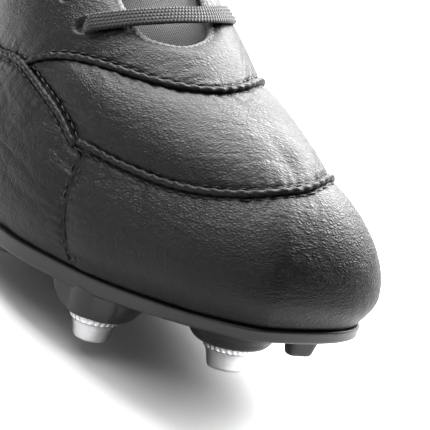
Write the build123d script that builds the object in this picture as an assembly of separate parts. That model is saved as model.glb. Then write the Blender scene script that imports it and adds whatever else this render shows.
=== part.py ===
"""Leather football boot for the right foot, with six screw-in studs.

Millimetres. +X points to the toe, +Y to the inner side of the foot, +Z up.
The upper is one lasted surface, cut into the leather panels that are sewn together.
"""
from build123d import *
import math
import os

# ---- driving dimensions -------------------------------------------------
SOLE_LENGTH = 286.0
RIM_HEIGHT = 6.0            # visible edge of the moulded sole plate
RIM_WALL = 2.6
PLATE_FLOOR = 2.6
PLATE_GAP = 0.05
# half widths of the sole plate: distance from the heel, outer side, inner side
OUTLINE = [(0, 0, 0), (12, -24, 23), (35, -33, 32), (70, -34, 31), (110, -37.5, 29), (150, -46, 34),
           (185, -49, 43.5), (210, -46, 49), (235, -36.3, 52), (255, -25.6, 52.5), (270, -16, 45.5),
           (280, -7, 33.5), (286, 5, 5)]
# height of the plate's underside along the boot, with the toe spring
ROCKER = [(0, 6), (30, 4), (60, 4), (100, 3), (140, 1), (165, 0), (182, 0), (205, 2), (225, 4.6), (245, 7.3),
          (265, 11.4), (286, 16.3)]
HEEL_LEVEL = 4.0            # underside over the two heel studs
TOE_SPRING_START = 200.0
# crest line of the lasted upper
CREST = [(0, 150), (40, 140), (80, 128), (120, 112), (150, 98), (180, 84), (200, 76), (215, 70.5),
         (230, 66), (245, 62), (255, 59)]
CREST_SHIFT = [(0, 0), (100, 0), (200, 2), (250, 1), (286, 0)]
SIDE_POWER = 2.2
TOP_POWER = 2.3
FEATHER_INSET = 1.0
SIDE_BULGE = 3.0
BULGE_HEIGHT = 38.0
FEATHER_LIFT = 0.1          # the upper stands this far above the rim
TOE_GATHER_START = 200.0
TOE_GATHER = 0.36
HEEL_GATHER_START = 60.0
HEEL_GATHER = 0.4

LEATHER = 1.4
LINING = 0.9
LAYER_GAP = 0.15
SEAM_GAP = 0.25             # half the gap between two panels under a seam rib

FRONT_ARC = (267.0, 0.0275, 6.0)      # apex x, curvature, apex y, seen from above
REAR_ARC = (223.0, 0.029, -1.5)
FRONT_ARC_Y = (-36.6, 44.9)
REAR_ARC_Y = (-41.5, 35.2)
# side seam between vamp and quarter: distance along the outline, height fraction
SIDE_SEAM = [(0.15, 0.22), (0.40, 0.24), (0.526, 0.263), (0.565, 0.335), (0.607, 0.367),
             (0.648, 0.371), (0.687, 0.325), (0.75, 0.25)]
ROW_TOP_S = 0.687           # where the front arc meets the side seam
ROW_FOOT_S = 0.726          # where the flat stitched seam reaches the sole
ANKLE_S = 0.440             # rear end of the eyestays
HEEL_S = 0.215              # front edge of the heel cover
COLLAR = [(-2, 84), (20, 80), (45, 72), (70, 70), (92, 81), (112, 99), (130, 104)]

THROAT_CENTRE_Y = -3.0
THROAT_FRONT_X = 203.5
THROAT_HALF = [(203.5, 3.0), (201, 8.0), (196, 12.0), (170, 16.0), (112, 20.0)]

EYELET_X = [182.0, 168.0, 154.0, 140.0, 126.0]
EYELET_W = [0.40, 0.41, 0.42, 0.43, 0.44]
LACE_WIDTH = 7.0
LACE_THICK = 1.5
LACE_LIFT = 0.3

TONGUE_DEPTH = 3.8
TONGUE_THICK = 4.5
TONGUE_X = (211.0, 92.0)

BOSS_HEIGHT = 5.0
BOSS_BASE_R = 15.0
BOSS_TIP_R = 12.4
FRONT_STUD = 10.0
HEEL_STUD = 14.0
POST_R = 2.5
POST_CLEARANCE = 0.06
POST_LENGTH = 6.4
SOCKET_R = 4.4
SOCKET_DEPTH = 7.0
STUDS = {
    "front_outer": (237.2, -25.0, FRONT_STUD),
    "front_inner": (255.8, 10.8, FRONT_STUD),
    "ball_outer": (168.0, -29.0, FRONT_STUD),
    "ball_inner": (178.0, 25.0, FRONT_STUD),
    "heel_outer": (38.0, -19.0, HEEL_STUD),
    "heel_inner": (38.0, 18.0, HEEL_STUD),
}
TOE_STUD = (274.0, 24.0)

# free lace: loops and ends of the bow, as points of their routes
LOOP_OUTER = [(117, -9.6, 116), (118, -21, 115), (116.5, -28, 106), (117, -33, 94.5), (121.5, -37.5, 83),
              (129, -41.5, 73), (140, -44, 68), (150.5, -43, 71.5), (155, -38.5, 82), (150.5, -32.5, 94),
              (142, -27.5, 103), (133.5, -21, 110), (125, -14, 114.5), (121, -9.6, 115.5)]
LOOP_INNER = [(117, 0.8, 116), (118, 12, 115), (117, 19, 106), (116.5, 24, 95.5), (120.5, 28.5, 84),
              (127.5, 31.5, 73.5), (138, 33, 68), (149, 32, 70.5), (154.5, 28, 80.5), (150.5, 22.5, 92.5),
              (142, 17, 102.5), (134, 11.5, 110), (125, 5, 114.5), (121, 0.8, 115.5)]
END_OUTER = [(113, -9.6, 116), (110.5, -20.5, 115.5), (107.5, -27.5, 107.5), (108, -33, 96.5),
             (111, -37.5, 85.5)]
END_INNER = [(113, 0.8, 116), (110.5, 12, 115), (108.5, 19, 107.5), (109, 24.5, 96), (113, 28.5, 85)]
CORD_R = 1.8
AGLET_LENGTH = 20.0
AGLET_R = 2.0
KNOT = (117.0, -4.4, 115.5)
CORD_NODES = ["lace_loop_outer", "lace_loop_inner", "lace_end_outer", "lace_end_inner",
              "aglet_outer", "aglet_inner"]
parts = {}


# ---- curves -------------------------------------------------------------
def smooth(knots, x):
    """Cubic through the knots, with the slope at each knot taken from its neighbours."""
    n = len(knots)
    x = min(max(x, knots[0][0]), knots[-1][0])
    i = 0
    while i < n - 2 and x > knots[i + 1][0]:
        i += 1

    def slope(k):
        a = knots[max(k - 1, 0)]
        b = knots[k]
        c = knots[min(k + 1, n - 1)]
        if k == 0:
            return (c[1] - b[1]) / (c[0] - b[0])
        if k == n - 1:
            return (b[1] - a[1]) / (b[0] - a[0])
        left = (b[1] - a[1]) / (b[0] - a[0])
        right = (c[1] - b[1]) / (c[0] - b[0])
        weight = (b[0] - a[0]) / (c[0] - a[0])
        return left * (1 - weight) + right * weight

    x0, y0 = knots[i]
    x1, y1 = knots[i + 1]
    h = x1 - x0
    t = (x - x0) / h
    return ((2 * t**3 - 3 * t**2 + 1) * y0 + (t**3 - 2 * t**2 + t) * h * slope(i)
            + (3 * t**2 - 2 * t**3) * y1 + (t**3 - t**2) * h * slope(i + 1))


def outline_s(x):
    """Distance along one side of the outline, 0 at the heel and 1 at the toe tip."""
    return math.acos(min(max(1 - 2 * x / SOLE_LENGTH, -1), 1)) / math.pi


def outline_x(s):
    return SOLE_LENGTH * (1 - math.cos(math.pi * s)) / 2


OUTER_KNOTS = [(outline_s(x), outer) for x, outer, inner in OUTLINE]
INNER_KNOTS = [(outline_s(x), inner) for x, outer, inner in OUTLINE]


def outline_y(side, s):
    return smooth(OUTER_KNOTS if side < 0 else INNER_KNOTS, s)


def crest_x(x):
    """Where on the crest line the upper's pull line from outline position x ends."""
    if x > TOE_GATHER_START:
        run = x - TOE_GATHER_START
        return TOE_GATHER_START + run * (1 - TOE_GATHER * run / (SOLE_LENGTH - TOE_GATHER_START))
    if x < HEEL_GATHER_START:
        run = HEEL_GATHER_START - x
        return HEEL_GATHER_START - run * (1 - HEEL_GATHER * run / HEEL_GATHER_START)
    return x


def pull_line(side, s):
    """Feather point, crest point and height of the pull line at outline position s."""
    fx = outline_x(s)
    fy = outline_y(side, s)
    rx = crest_x(fx)
    rs = outline_s(rx)
    ry = (outline_y(-1, rs) + outline_y(1, rs)) / 2 + smooth(CREST_SHIFT, rx)
    base = smooth(ROCKER, fx) + RIM_HEIGHT + FEATHER_LIFT
    return fx, fy, rx, ry, base, smooth(CREST, rx) - base


def side_bulge(h):
    """How far the leather rolls out over the rim at the height h."""
    t = min(h / BULGE_HEIGHT, 1)
    return SIDE_BULGE * 6.75 * t * (1 - t) ** 2


def lasted(a, tau):
    """Point on the outer face. a runs from 0 at the toe tip to -1 or 1 at the heel's back,
    negative on the outer side, and tau from 0 at the sole to 1 on the crest."""
    if a > 1:
        a -= 2
    if a < -1:
        a += 2
    side = -1 if a < 0 else 1
    fx, fy, rx, ry, base, rise = pull_line(side, 1 - abs(a))
    run = math.hypot(rx - fx, ry - fy)
    ux = (rx - fx) / run
    uy = (ry - fy) / run
    angle = tau * math.pi / 2
    c = max(math.cos(angle), 0.0) ** (2 / SIDE_POWER)
    h = rise * math.sin(angle) ** (2 / TOP_POWER)
    inset = FEATHER_INSET + (run - FEATHER_INSET) * (1 - c) - side_bulge(h)
    return Vector(fx + ux * inset, fy + uy * inset, base + h)


def arch(s, w):
    """The same face, with w running over the foot from -1 at the outer feather to 1."""
    return lasted(w / abs(w) * (1 - s) if w else -(1 - s), 1 - abs(w))


def below(face, u, v, depth, du=0.004, dv=0.01):
    """Point at a depth under a face, along its normal."""
    p = face(u, v)
    along = face(u + du, v) - face(u - du, v)
    across = face(u, min(v + dv, 1.0)) - face(u, max(v - dv, -1.0 if face is arch else 0.001))
    normal = along.cross(across).normalized()
    if face is arch:
        normal = normal if normal.Z > -0.2 and normal.dot(Vector(0, w_sign(v), 0.6)) > 0 else -normal
    return p - normal * depth


def w_sign(w):
    return -1 if w < 0 else 1


def tau_at_height(a, z):
    """Height fraction on the pull line at a where the face reaches the height z."""
    side = -1 if a < 0 else 1
    base, rise = pull_line(side, 1 - min(abs(a), 2 - abs(a)))[4:]
    part = min(max((z - base) / rise, 0.0), 1.0)
    return math.asin(part ** (TOP_POWER / 2)) * 2 / math.pi


def skin(face, count_u, count_v, outer_depth, inner_depth):
    """Closed solid between two depths under a face given as face(u, v, depth)."""
    def closed(flip):
        sheets = []
        for depth in (outer_depth, inner_depth):
            rows = [[face(i / (count_u - 1), j / (count_v - 1), depth) for i in range(count_u)]
                    for j in range(count_v)]
            rows = rows[::-1] if flip else rows
            sheets.append(Face.make_surface_from_array_of_points(rows, tol=0.02, min_deg=3))
        outer, inner = sheets
        walls = []
        for edge in outer.edges():
            middle = edge.position_at(0.5)
            mate = min(inner.edges(), key=lambda other: (other.position_at(0.5) - middle).length)
            walls.append(Face.make_surface_from_curves(edge, mate))
        return Solid(Shell([outer, inner] + walls))

    solid = closed(False)
    return solid if solid.volume > 0 else closed(True)


def between(start, end, t):
    return start + (end - start) * t


def arc_x(arc, y):
    apex, curvature, centre = arc
    return apex - curvature * (y - centre) ** 2


def find_root(function, low, high):
    low_sign = function(low) > 0
    for _ in range(34):
        middle = (low + high) / 2
        if (function(middle) > 0) == low_sign:
            low = middle
        else:
            high = middle
    return (low + high) / 2


def gathered_from(x):
    """Outline position whose pull line ends over x on the crest, in front of the gather start."""
    span = SOLE_LENGTH - TOE_GATHER_START
    inside = 1 - 4 * TOE_GATHER * (x - TOE_GATHER_START) / span
    run = (1 - math.sqrt(max(inside, 0))) * span / (2 * TOE_GATHER)
    return TOE_GATHER_START + min(run, span)


def locate(x, y):
    """The pull line and height fraction of the face above the plan point x, y."""
    best = None
    for side in (-1, 1):
        s = outline_s(x)
        if x > TOE_GATHER_START:
            def turn(t):
                fx, fy, rx, ry = pull_line(side, t)[:4]
                return side * ((rx - fx) * (y - fy) - (ry - fy) * (x - fx))

            last = outline_s(gathered_from(x) if x < crest_x(SOLE_LENGTH) else SOLE_LENGTH)
            if (turn(s) > 0) == (turn(last) > 0):
                continue
            s = find_root(turn, s, last)
        fx, fy, rx, ry, base, rise = pull_line(side, s)
        run = math.hypot(rx - fx, ry - fy)
        inset = ((x - fx) * (rx - fx) + (y - fy) * (ry - fy)) / run
        bulge = 0.0
        for _ in range(12):
            c = min(max(1 - (inset + bulge - FEATHER_INSET) / (run - FEATHER_INSET), 0.0), 1.0)
            angle = math.acos(c ** (SIDE_POWER / 2))
            h = rise * math.sin(angle) ** (2 / TOP_POWER)
            bulge = side_bulge(h)
        excess = max(inset - run, 0)
        if best is None or excess < best[0]:
            best = (excess, side * (1 - s), angle * 2 / math.pi)
    return best[1], best[2]


# ---- leather panels -----------------------------------------------------
def wrap(a):
    return a - 2 if a > 1 else a + 2 if a < -1 else a


def side_seam(a):
    return smooth(SIDE_SEAM, 1 - abs(wrap(a)))


def collar_height(a):
    return smooth(COLLAR, outline_x(1 - abs(wrap(a))))


def collar_edge(a, drop=0.0):
    return tau_at_height(wrap(a), collar_height(a) - drop)


def trimmed(t, length):
    """t from 0 to 1, kept half a seam gap away from both ends of a span."""
    gap = SEAM_GAP / length
    return gap + (1 - 2 * gap) * t


def front_arc_tau(a):
    def ahead(tau):
        p = lasted(a, tau)
        return p.X - arc_x(FRONT_ARC, p.Y)

    return find_root(ahead, 0.0, 0.98)


def toe_panel(u, v, depth):
    row = between(ROW_FOOT_S, ROW_TOP_S, v)
    a = between(-(1 - row), 1 - row, trimmed(u, 150))
    return below(lasted, a, front_arc_tau(a) * trimmed(v, 60), depth)


def forefoot_panel(u, v, depth):
    y0 = between(*FRONT_ARC_Y, trimmed(u, 80))
    y1 = between(*REAR_ARC_Y, trimmed(u, 80))
    t = trimmed(v, 44)
    a, tau = locate(between(arc_x(FRONT_ARC, y0), arc_x(REAR_ARC, y1), t), between(y0, y1, t))
    return below(lasted, a, tau, depth)


def rear_arc_s(part_of_width):
    def ahead(s):
        p = arch(s, part_of_width * (1 - side_seam(1 - s)))
        return p.X - arc_x(REAR_ARC, p.Y)

    return find_root(ahead, 0.45, 0.80)


def instep_panel(u, v, depth):
    side = between(-1, 1, trimmed(u, 120))
    s = between(rear_arc_s(side), ANKLE_S, trimmed(v, 90))
    return below(arch, s, side * (1 - side_seam(1 - s)), depth)


def quarter_panel(side):
    def face(u, v, depth):
        row = between(ROW_FOOT_S, ROW_TOP_S, v)
        s = between(HEEL_S, row, trimmed(u, 190))
        return below(lasted, side * (1 - s), side_seam(1 - s) * trimmed(v, 40), depth)

    return face


def ankle_panel(side):
    def face(u, v, depth):
        a = side * (1 - between(HEEL_S, ANKLE_S, trimmed(u, 80)))
        return below(lasted, a, between(side_seam(a), collar_edge(a), trimmed(v, 40)), depth)

    return face


def round_heel(front_s):
    """The sweep of a from the outer side round the heel to the inner side."""
    return lambda u: between(-(1 - front_s), -(1 + front_s), u)


def heel_cover(u, v, depth):
    a = round_heel(HEEL_S)(trimmed(u, 130))
    return below(lasted, a, collar_edge(a) * v, depth)


def throat_cutter(margin):
    """Tall solid that opens the throat between the two eyestays."""
    near = [(x, THROAT_CENTRE_Y - half - margin) for x, half in THROAT_HALF[::-1]]
    far = [(x, THROAT_CENTRE_Y + half + margin) for x, half in THROAT_HALF]
    edge = Spline(near + [(THROAT_FRONT_X + 1 + margin, THROAT_CENTRE_Y)] + far)
    lower = Polyline(edge @ 1, (60, far[-1][1]), (60, near[0][1]), edge @ 0)
    outline = make_face([edge, lower])
    return extrude(Pos(0, 0, 40) * outline, 140)


def build_panels():
    parts["toe_panel"] = skin(toe_panel, 41, 13, 0, LEATHER)
    parts["forefoot_panel"] = skin(forefoot_panel, 33, 13, 0, LEATHER)
    parts["instep_panel"] = skin(instep_panel, 41, 21, 0, LEATHER) - throat_cutter(0)
    for name, side in (("outer", -1), ("inner", 1)):
        parts[f"quarter_{name}"] = skin(quarter_panel(side), 35, 9, 0, LEATHER)
        parts[f"ankle_panel_{name}"] = skin(ankle_panel(side), 17, 9, 0, LEATHER)
    parts["heel_cover"] = skin(heel_cover, 33, 11, 0, LEATHER)


# ---- inside of the upper ------------------------------------------------
LINING_DEPTH = LEATHER + LAYER_GAP
PUFF_S = 0.715
LINING_FRONT_S = 0.700
COUNTER_S = 0.33
COUNTER_TOP = 40.0
COLLAR_FRONT_S = 0.415
COLLAR_PAD = 5.0
COLLAR_PAD_DROP = 26.0


def vamp_lining(u, v, depth):
    s = between(LINING_FRONT_S, ANKLE_S, v)
    return below(arch, s, between(-0.86, 0.86, u), depth)


def toe_puff(u, v, depth):
    a = between(-(1 - PUFF_S), 1 - PUFF_S, u)
    return below(lasted, a, between(0.04, 0.62, v), depth)


def heel_counter(u, v, depth):
    a = round_heel(COUNTER_S)(u)
    return below(lasted, a, between(0.02, tau_at_height(wrap(a), COUNTER_TOP), v), depth)


def collar_lining(u, v, depth):
    a = round_heel(COLLAR_FRONT_S)(u)
    return below(lasted, a, between(collar_edge(a, COLLAR_PAD_DROP), collar_edge(a, 1.5), v), depth)


def tongue(u, v, depth):
    s = between(outline_s(TONGUE_X[0]), outline_s(TONGUE_X[1]), v)
    half = between(0.50, 0.34, v)
    return below(arch, s, between(-half, half, u), depth)


def build_inside():
    lining = skin(vamp_lining, 33, 17, LINING_DEPTH, LINING_DEPTH + LINING)
    parts["vamp_lining"] = lining - throat_cutter(0.8)
    parts["toe_puff"] = skin(toe_puff, 29, 9, LINING_DEPTH, LINING_DEPTH + LINING)
    parts["heel_counter"] = skin(heel_counter, 29, 7, LINING_DEPTH, LINING_DEPTH + 1.4)
    parts["collar_lining"] = skin(collar_lining, 41, 7, LINING_DEPTH, LINING_DEPTH + COLLAR_PAD)
    parts["tongue"] = skin(tongue, 21, 25, TONGUE_DEPTH, TONGUE_DEPTH + TONGUE_THICK)


# ---- raised seams -------------------------------------------------------
RIB_WIDTH = 2.6
RIB_HEIGHT = 1.5
RIB_LIFT = 0.12
RIB_TRIM = 2.2


def rib_on(curve):
    """Raised roll over a seam, given as curve(u) -> pull line and height fraction."""
    def face(u, v, depth):
        here = below(lasted, *curve(u), 0)
        normal = (here - below(lasted, *curve(u), 1.0)).normalized()
        ahead = below(lasted, *curve(min(u + 0.01, 1.0)), 0)
        behind = below(lasted, *curve(max(u - 0.01, 0.0)), 0)
        across = normal.cross((ahead - behind).normalized())
        return here + across * between(-RIB_WIDTH / 2, RIB_WIDTH / 2, v) - normal * depth

    return face


def build_ribs():
    def front(u):
        y = between(FRONT_ARC_Y[0] + RIB_TRIM, FRONT_ARC_Y[1] - RIB_TRIM, u)
        return locate(arc_x(FRONT_ARC, y), y)

    def rear(u):
        y = between(REAR_ARC_Y[0] + RIB_TRIM, REAR_ARC_Y[1] - RIB_TRIM, u)
        return locate(arc_x(REAR_ARC, y), y)

    def along_side(side):
        def curve(u):
            s = between(ROW_TOP_S - 0.004, HEEL_S + 0.008, u)
            return side * (1 - s), side_seam(1 - s)

        return curve

    curves = {"front": front, "rear": rear, "outer": along_side(-1), "inner": along_side(1)}
    for name, curve in curves.items():
        parts[f"seam_rib_{name}"] = skin(rib_on(curve), 41, 4, -RIB_LIFT - RIB_HEIGHT, -RIB_LIFT)


# ---- sole ---------------------------------------------------------------
def outline_face(inset):
    """Plan outline of the sole plate, drawn in by an inset."""
    ring = []
    steps = 44
    for k in range(2 * steps):
        a = -1 + k / steps
        side = -1 if a < 0 else 1
        s = 1 - abs(a)
        ring.append(Vector(outline_x(s), outline_y(side, s)))
    drawn = []
    for k, point in enumerate(ring):
        along = (ring[(k + 1) % len(ring)] - ring[k - 1]).normalized()
        drawn.append(point + Vector(along.Y, -along.X) * -inset)
    return make_face(Spline(*drawn, periodic=True))


def sole_slab(low, high):
    """Slab that follows the rocker, between two heights over the plate's underside."""
    count = 24
    xs = [-12 + (SOLE_LENGTH + 24) * k / count for k in range(count + 1)]
    bottom = Spline(*[(x, smooth(ROCKER, x) + low) for x in xs])
    top = Spline(*[(x, smooth(ROCKER, x) + high) for x in xs])
    side = make_face([bottom, top, Line(bottom @ 0, top @ 0), Line(bottom @ 1, top @ 1)])
    return extrude(Plane.XZ * side, 90, both=True)


def sole_layer(inset, low, high):
    prism = extrude(Pos(0, 0, -20) * outline_face(inset), 80)
    return prism & sole_slab(low, high)


def stud_plane(x, y):
    """Plane on the plate's underside, facing the ground. Behind the toe spring it is level."""
    if x < TOE_SPRING_START:
        level = HEEL_LEVEL if x < SOLE_LENGTH / 3 else 0
        return Plane(origin=(x, y, level), x_dir=(0, 1, 0), z_dir=(0, 0, -1))
    slope = (smooth(ROCKER, x + 1) - smooth(ROCKER, x - 1)) / 2
    normal = Vector(slope, 0, -1).normalized()
    return Plane(origin=(x, y, smooth(ROCKER, x)), x_dir=(0, 1, 0), z_dir=normal)


def turned(profile, plane):
    """Solid of revolution about the plane's normal, from points (radius, height)."""
    drawing = Plane.XZ * make_face(Polyline(*profile, close=True))
    return plane * revolve(drawing, Axis.Z, 360)


def boss_profile():
    return [(0, -1.0), (BOSS_BASE_R + 0.6, -1.0), (BOSS_BASE_R, 0.2), (BOSS_BASE_R - 1.0, 1.4),
            (BOSS_BASE_R - 1.5, 3.2), (BOSS_TIP_R, 4.6), (BOSS_TIP_R - 0.8, BOSS_HEIGHT), (0, BOSS_HEIGHT)]


def socket_profile():
    bore = POST_R + POST_CLEARANCE
    top = BOSS_HEIGHT
    waist = SOCKET_R - 0.7
    return [(bore, top), (SOCKET_R, top), (SOCKET_R, top - 1.5), (waist, top - 2.0), (waist, top - 3.5),
            (SOCKET_R, top - 4.0), (SOCKET_R, top - SOCKET_DEPTH), (bore, top - SOCKET_DEPTH)]


def build_sole():
    plate = sole_layer(0, 0, RIM_HEIGHT) - sole_layer(RIM_WALL, PLATE_FLOOR, RIM_HEIGHT + 8)
    trim = extrude(Pos(0, 0, -30) * outline_face(0.05), 60)
    for x, y, height in STUDS.values():
        plane = stud_plane(x, y)
        plate += turned(boss_profile(), plane) & trim
        plate -= plane * Pos(0, 0, -4) * Cylinder(SOCKET_R + PLATE_GAP, 20)
    parts["soleplate"] = plate
    blade = stud_plane(*TOE_STUD)
    parts["toe_stud"] = blade * Pos(0, 0, 0.15) * extrude(Rectangle(9.0, 7.0), 4.6, taper=9)
    board = sole_layer(RIM_WALL + 0.1, PLATE_FLOOR + 0.1, PLATE_FLOOR + 2.6)
    for x, y, height in STUDS.values():
        board -= stud_plane(x, y) * Cylinder(SOCKET_R + 0.4, 30)
    parts["insole_board"] = board
    parts["sockliner"] = sole_layer(5.6, PLATE_FLOOR + 2.7, PLATE_FLOOR + 6.7)


# ---- screw-in studs -----------------------------------------------------
def cone_profile(height):
    seat = BOSS_HEIGHT + 0.05
    bore = POST_R - 0.4
    return [(bore, seat), (8.4, seat), (8.75, seat + 0.4), (8.75, seat + 2.0), (7.9, seat + 2.4),
            (7.75, seat + 3.6), (7.2, seat + 4.2), (5.9, seat + height - 0.8), (5.0, seat + height),
            (0, seat + height), (0, seat + 3.0), (bore, seat + 3.0)]


def post_profile():
    seat = BOSS_HEIGHT + 2.9
    return [(0, BOSS_HEIGHT - POST_LENGTH), (POST_R - 0.5, BOSS_HEIGHT - POST_LENGTH),
            (POST_R, BOSS_HEIGHT - POST_LENGTH + 0.6), (POST_R, BOSS_HEIGHT - 0.6),
            (POST_R - 0.45, BOSS_HEIGHT - 0.1), (POST_R - 0.45, seat), (0, seat)]


def build_studs():
    for name, (x, y, height) in STUDS.items():
        plane = stud_plane(x, y)
        parts[f"socket_{name}"] = turned(socket_profile(), plane)
        parts[f"stud_post_{name}"] = turned(post_profile(), plane)
        parts[f"stud_cone_{name}"] = turned(cone_profile(height), plane)


# ---- lace ---------------------------------------------------------------
def bump(w, flat, end):
    """1 up to flat, falling smoothly to 0 at end."""
    t = min(max((end - abs(w)) / (end - flat), 0.0), 1.0)
    return t * t * (3 - 2 * t)


def strap(x0, w0, x1, w1, rise, flat, end):
    """Flat lace over the instep from pull line x0 to x1, lifted by rise in the middle."""
    s0 = outline_s(x0)
    s1 = outline_s(x1)

    def face(u, v, depth):
        w = between(w0, w1, u)
        s = between(s0, s1, u)
        here = below(arch, s, w, 0)
        normal = (here - below(arch, s, w, 1.0)).normalized()
        ahead = below(arch, between(s0, s1, u + 0.01), between(w0, w1, u + 0.01), 0)
        across = normal.cross((ahead - here).normalized())
        lift = LACE_LIFT + rise * bump(w, flat, end)
        return here + across * between(-LACE_WIDTH / 2, LACE_WIDTH / 2, v) + normal * (lift - depth)

    return skin(face, 25, 4, -LACE_THICK, 0)


def build_lace():
    parts["lace_bar"] = strap(EYELET_X[0], -EYELET_W[0], EYELET_X[0], EYELET_W[0], 2.2, 0.0, 0.40)
    over = LACE_THICK + 0.25
    for k in range(1, len(EYELET_X) - 1):
        w = EYELET_W[k]
        x0 = EYELET_X[k]
        x1 = between(x0, EYELET_X[k + 1], 0.8)
        parts[f"lace_cross_{k}_outer"] = strap(x0, -w, x1, 0.10, 0.5 + over, 0.20, 0.34)
        parts[f"lace_cross_{k}_inner"] = strap(x0, w, x1, -0.10, 0.5, 0.20, 0.34)


def lace_tube(points):
    """Round tube along straight runs joined by tangent arcs as large as the runs allow."""
    route = [Vector(*p) for p in points]
    radii = []
    for before, here, after in zip(route, route[1:], route[2:]):
        runs = (here - before, after - here)
        turn = math.radians(runs[0].get_angle(runs[1]))
        radii.append(0.45 * min(run.length for run in runs) / math.tan(turn / 2))
    path = FilletPolyline(*route, radius=radii)
    section = Plane(origin=path @ 0, z_dir=path % 0) * Circle(CORD_R)
    print("radii", [round(r, 1) for r in radii], "length", round(path.length, 1))
    return sweep(section, path=path), path % 1, path @ 1


def build_bow():
    parts["lace_knot"] = Pos(*KNOT) * fillet(Box(11.5, 10, 7.5).edges(), 2.5)
    top = EYELET_X[-1]
    for name, side in (("outer", -1), ("inner", 1)):
        parts[f"lace_top_{name}"] = strap(top, side * EYELET_W[-1], KNOT[0], side * 0.18, 0.5, 0.20, 0.34)
    loops = {"outer": LOOP_OUTER, "inner": LOOP_INNER}
    for name, points in loops.items():
        parts[f"lace_loop_{name}"] = lace_tube(points)[0]
    ends = {"outer": END_OUTER, "inner": END_INNER}
    for name, points in ends.items():
        tube, direction, tip = lace_tube(points)
        parts[f"lace_end_{name}"] = tube
        plane = Plane(origin=tip + direction * 0.05, z_dir=direction)
        parts[f"aglet_{name}"] = plane * Pos(0, 0, AGLET_LENGTH / 2) * Cylinder(AGLET_R, AGLET_LENGTH)


def main():
    build_panels()
    build_inside()
    build_ribs()
    build_sole()
    build_studs()
    build_lace()
    build_bow()
    box = Compound([solid for name, solid in parts.items() if name not in CORD_NODES]).bounding_box()
    stand = Pos(-(box.min.X + box.max.X) / 2, -(box.min.Y + box.max.Y) / 2, -box.min.Z)
    print("origin moved by", stand.position)
    os.makedirs("parts", exist_ok=True)
    for name, solid in parts.items():
        export_step(stand * solid, f"parts/{name}.step")


if __name__ == "__main__":
    main()
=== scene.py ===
"""Looks of the leather football boot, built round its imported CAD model.

Shapes are worked out in millimetres in the boot's construction axes, with x from the back of the heel,
y to the inner side of the foot and z from the plate's underside at the ball, and placed in the row frame
by the offset ORIGIN. The upper is one lasted surface, cut into the panels that are sewn together.
"""
import math

import bmesh
import bpy
import numpy as np
from mathutils import Matrix, Vector


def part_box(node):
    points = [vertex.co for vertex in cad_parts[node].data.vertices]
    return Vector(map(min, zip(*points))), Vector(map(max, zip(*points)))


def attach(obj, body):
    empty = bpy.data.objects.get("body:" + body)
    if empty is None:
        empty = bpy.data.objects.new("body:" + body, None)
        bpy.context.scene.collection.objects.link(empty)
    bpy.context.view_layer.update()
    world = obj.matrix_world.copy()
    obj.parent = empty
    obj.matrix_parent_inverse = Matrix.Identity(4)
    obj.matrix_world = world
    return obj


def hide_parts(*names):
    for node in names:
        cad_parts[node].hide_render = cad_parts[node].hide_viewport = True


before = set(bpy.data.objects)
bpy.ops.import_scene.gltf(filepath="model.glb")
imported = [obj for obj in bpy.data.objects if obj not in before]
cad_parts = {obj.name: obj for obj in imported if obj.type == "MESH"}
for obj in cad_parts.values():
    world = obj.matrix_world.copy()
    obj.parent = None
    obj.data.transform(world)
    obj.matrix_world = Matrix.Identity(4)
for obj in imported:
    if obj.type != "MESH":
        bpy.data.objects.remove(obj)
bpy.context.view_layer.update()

MM = 0.001

# ---- the last: driving dimensions shared with the CAD ------------------------
SOLE_LENGTH = 286.0
RIM_HEIGHT = 6.0
OUTLINE = [(0, 0, 0), (12, -24, 23), (35, -33, 32), (70, -34, 31), (110, -37.5, 29), (150, -46, 34),
           (185, -49, 42), (210, -46, 45.2), (235, -36.3, 46.3), (255, -25.6, 47.5), (270, -16, 44.5),
           (280, -7, 34), (286, 5, 5)]
ROCKER = [(0, 6), (30, 4), (60, 4), (100, 3), (140, 1), (165, 0), (182, 0), (205, 2), (225, 4.6), (245, 7.3),
          (265, 11.4), (286, 16.3)]
CREST = [(0, 150), (40, 140), (80, 128), (120, 112), (150, 98), (180, 84), (200, 76), (215, 70.5),
         (230, 66), (245, 62), (255, 59)]
CREST_SHIFT = [(0, 0), (100, 0), (200, 2), (250, 1), (286, 0)]
SIDE_POWER = 2.2
TOP_POWER = 2.3
FEATHER_INSET = 1.0
FEATHER_LIFT = 0.1
SIDE_BULGE = 3.0
BULGE_HEIGHT = 38.0
TOE_GATHER_START = 200.0
TOE_GATHER = 0.36
HEEL_GATHER_START = 60.0
HEEL_GATHER = 0.4
TOE_SPRING_START = 200.0
HEEL_LEVEL = 4.0

LEATHER = 1.4
FRONT_ARC = (267.0, 0.0275, 6.0)
REAR_ARC = (223.0, 0.029, -1.5)
FRONT_ARC_Y = (-36.6, 42.1)
REAR_ARC_Y = (-41.8, 34.5)
SIDE_SEAM = [(0.15, 0.22), (0.40, 0.24), (0.526, 0.263), (0.565, 0.335), (0.607, 0.367),
             (0.648, 0.371), (0.687, 0.325), (0.75, 0.25)]
ROW_TOP_S = 0.687
ROW_FOOT_S = 0.726
ANKLE_S = 0.440
PUFF_S = 0.715
HEEL_S = 0.215
COLLAR = [(-2, 84), (20, 80), (45, 72), (70, 70), (92, 81), (112, 99), (130, 104)]
THROAT = [(112, -25.5), (140, -23.7), (170, -21.5), (188, -19.7), (198, -17.2), (203, -12.6), (205.4, -5.5),
          (203, 1.4), (198, 6.2), (188, 8.7), (170, 10.5), (140, 12.7), (112, 14.5)]
EYELET_X = [182.0, 168.0, 154.0, 140.0, 126.0]
EYELET_W = [0.40, 0.41, 0.42, 0.43, 0.44]
EYELET_SKEW = 3.5           # outer eyelets sit this far ahead of the row, inner ones behind
BAR_BOW = 11.0
BOSS_HEIGHT = 5.0
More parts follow.
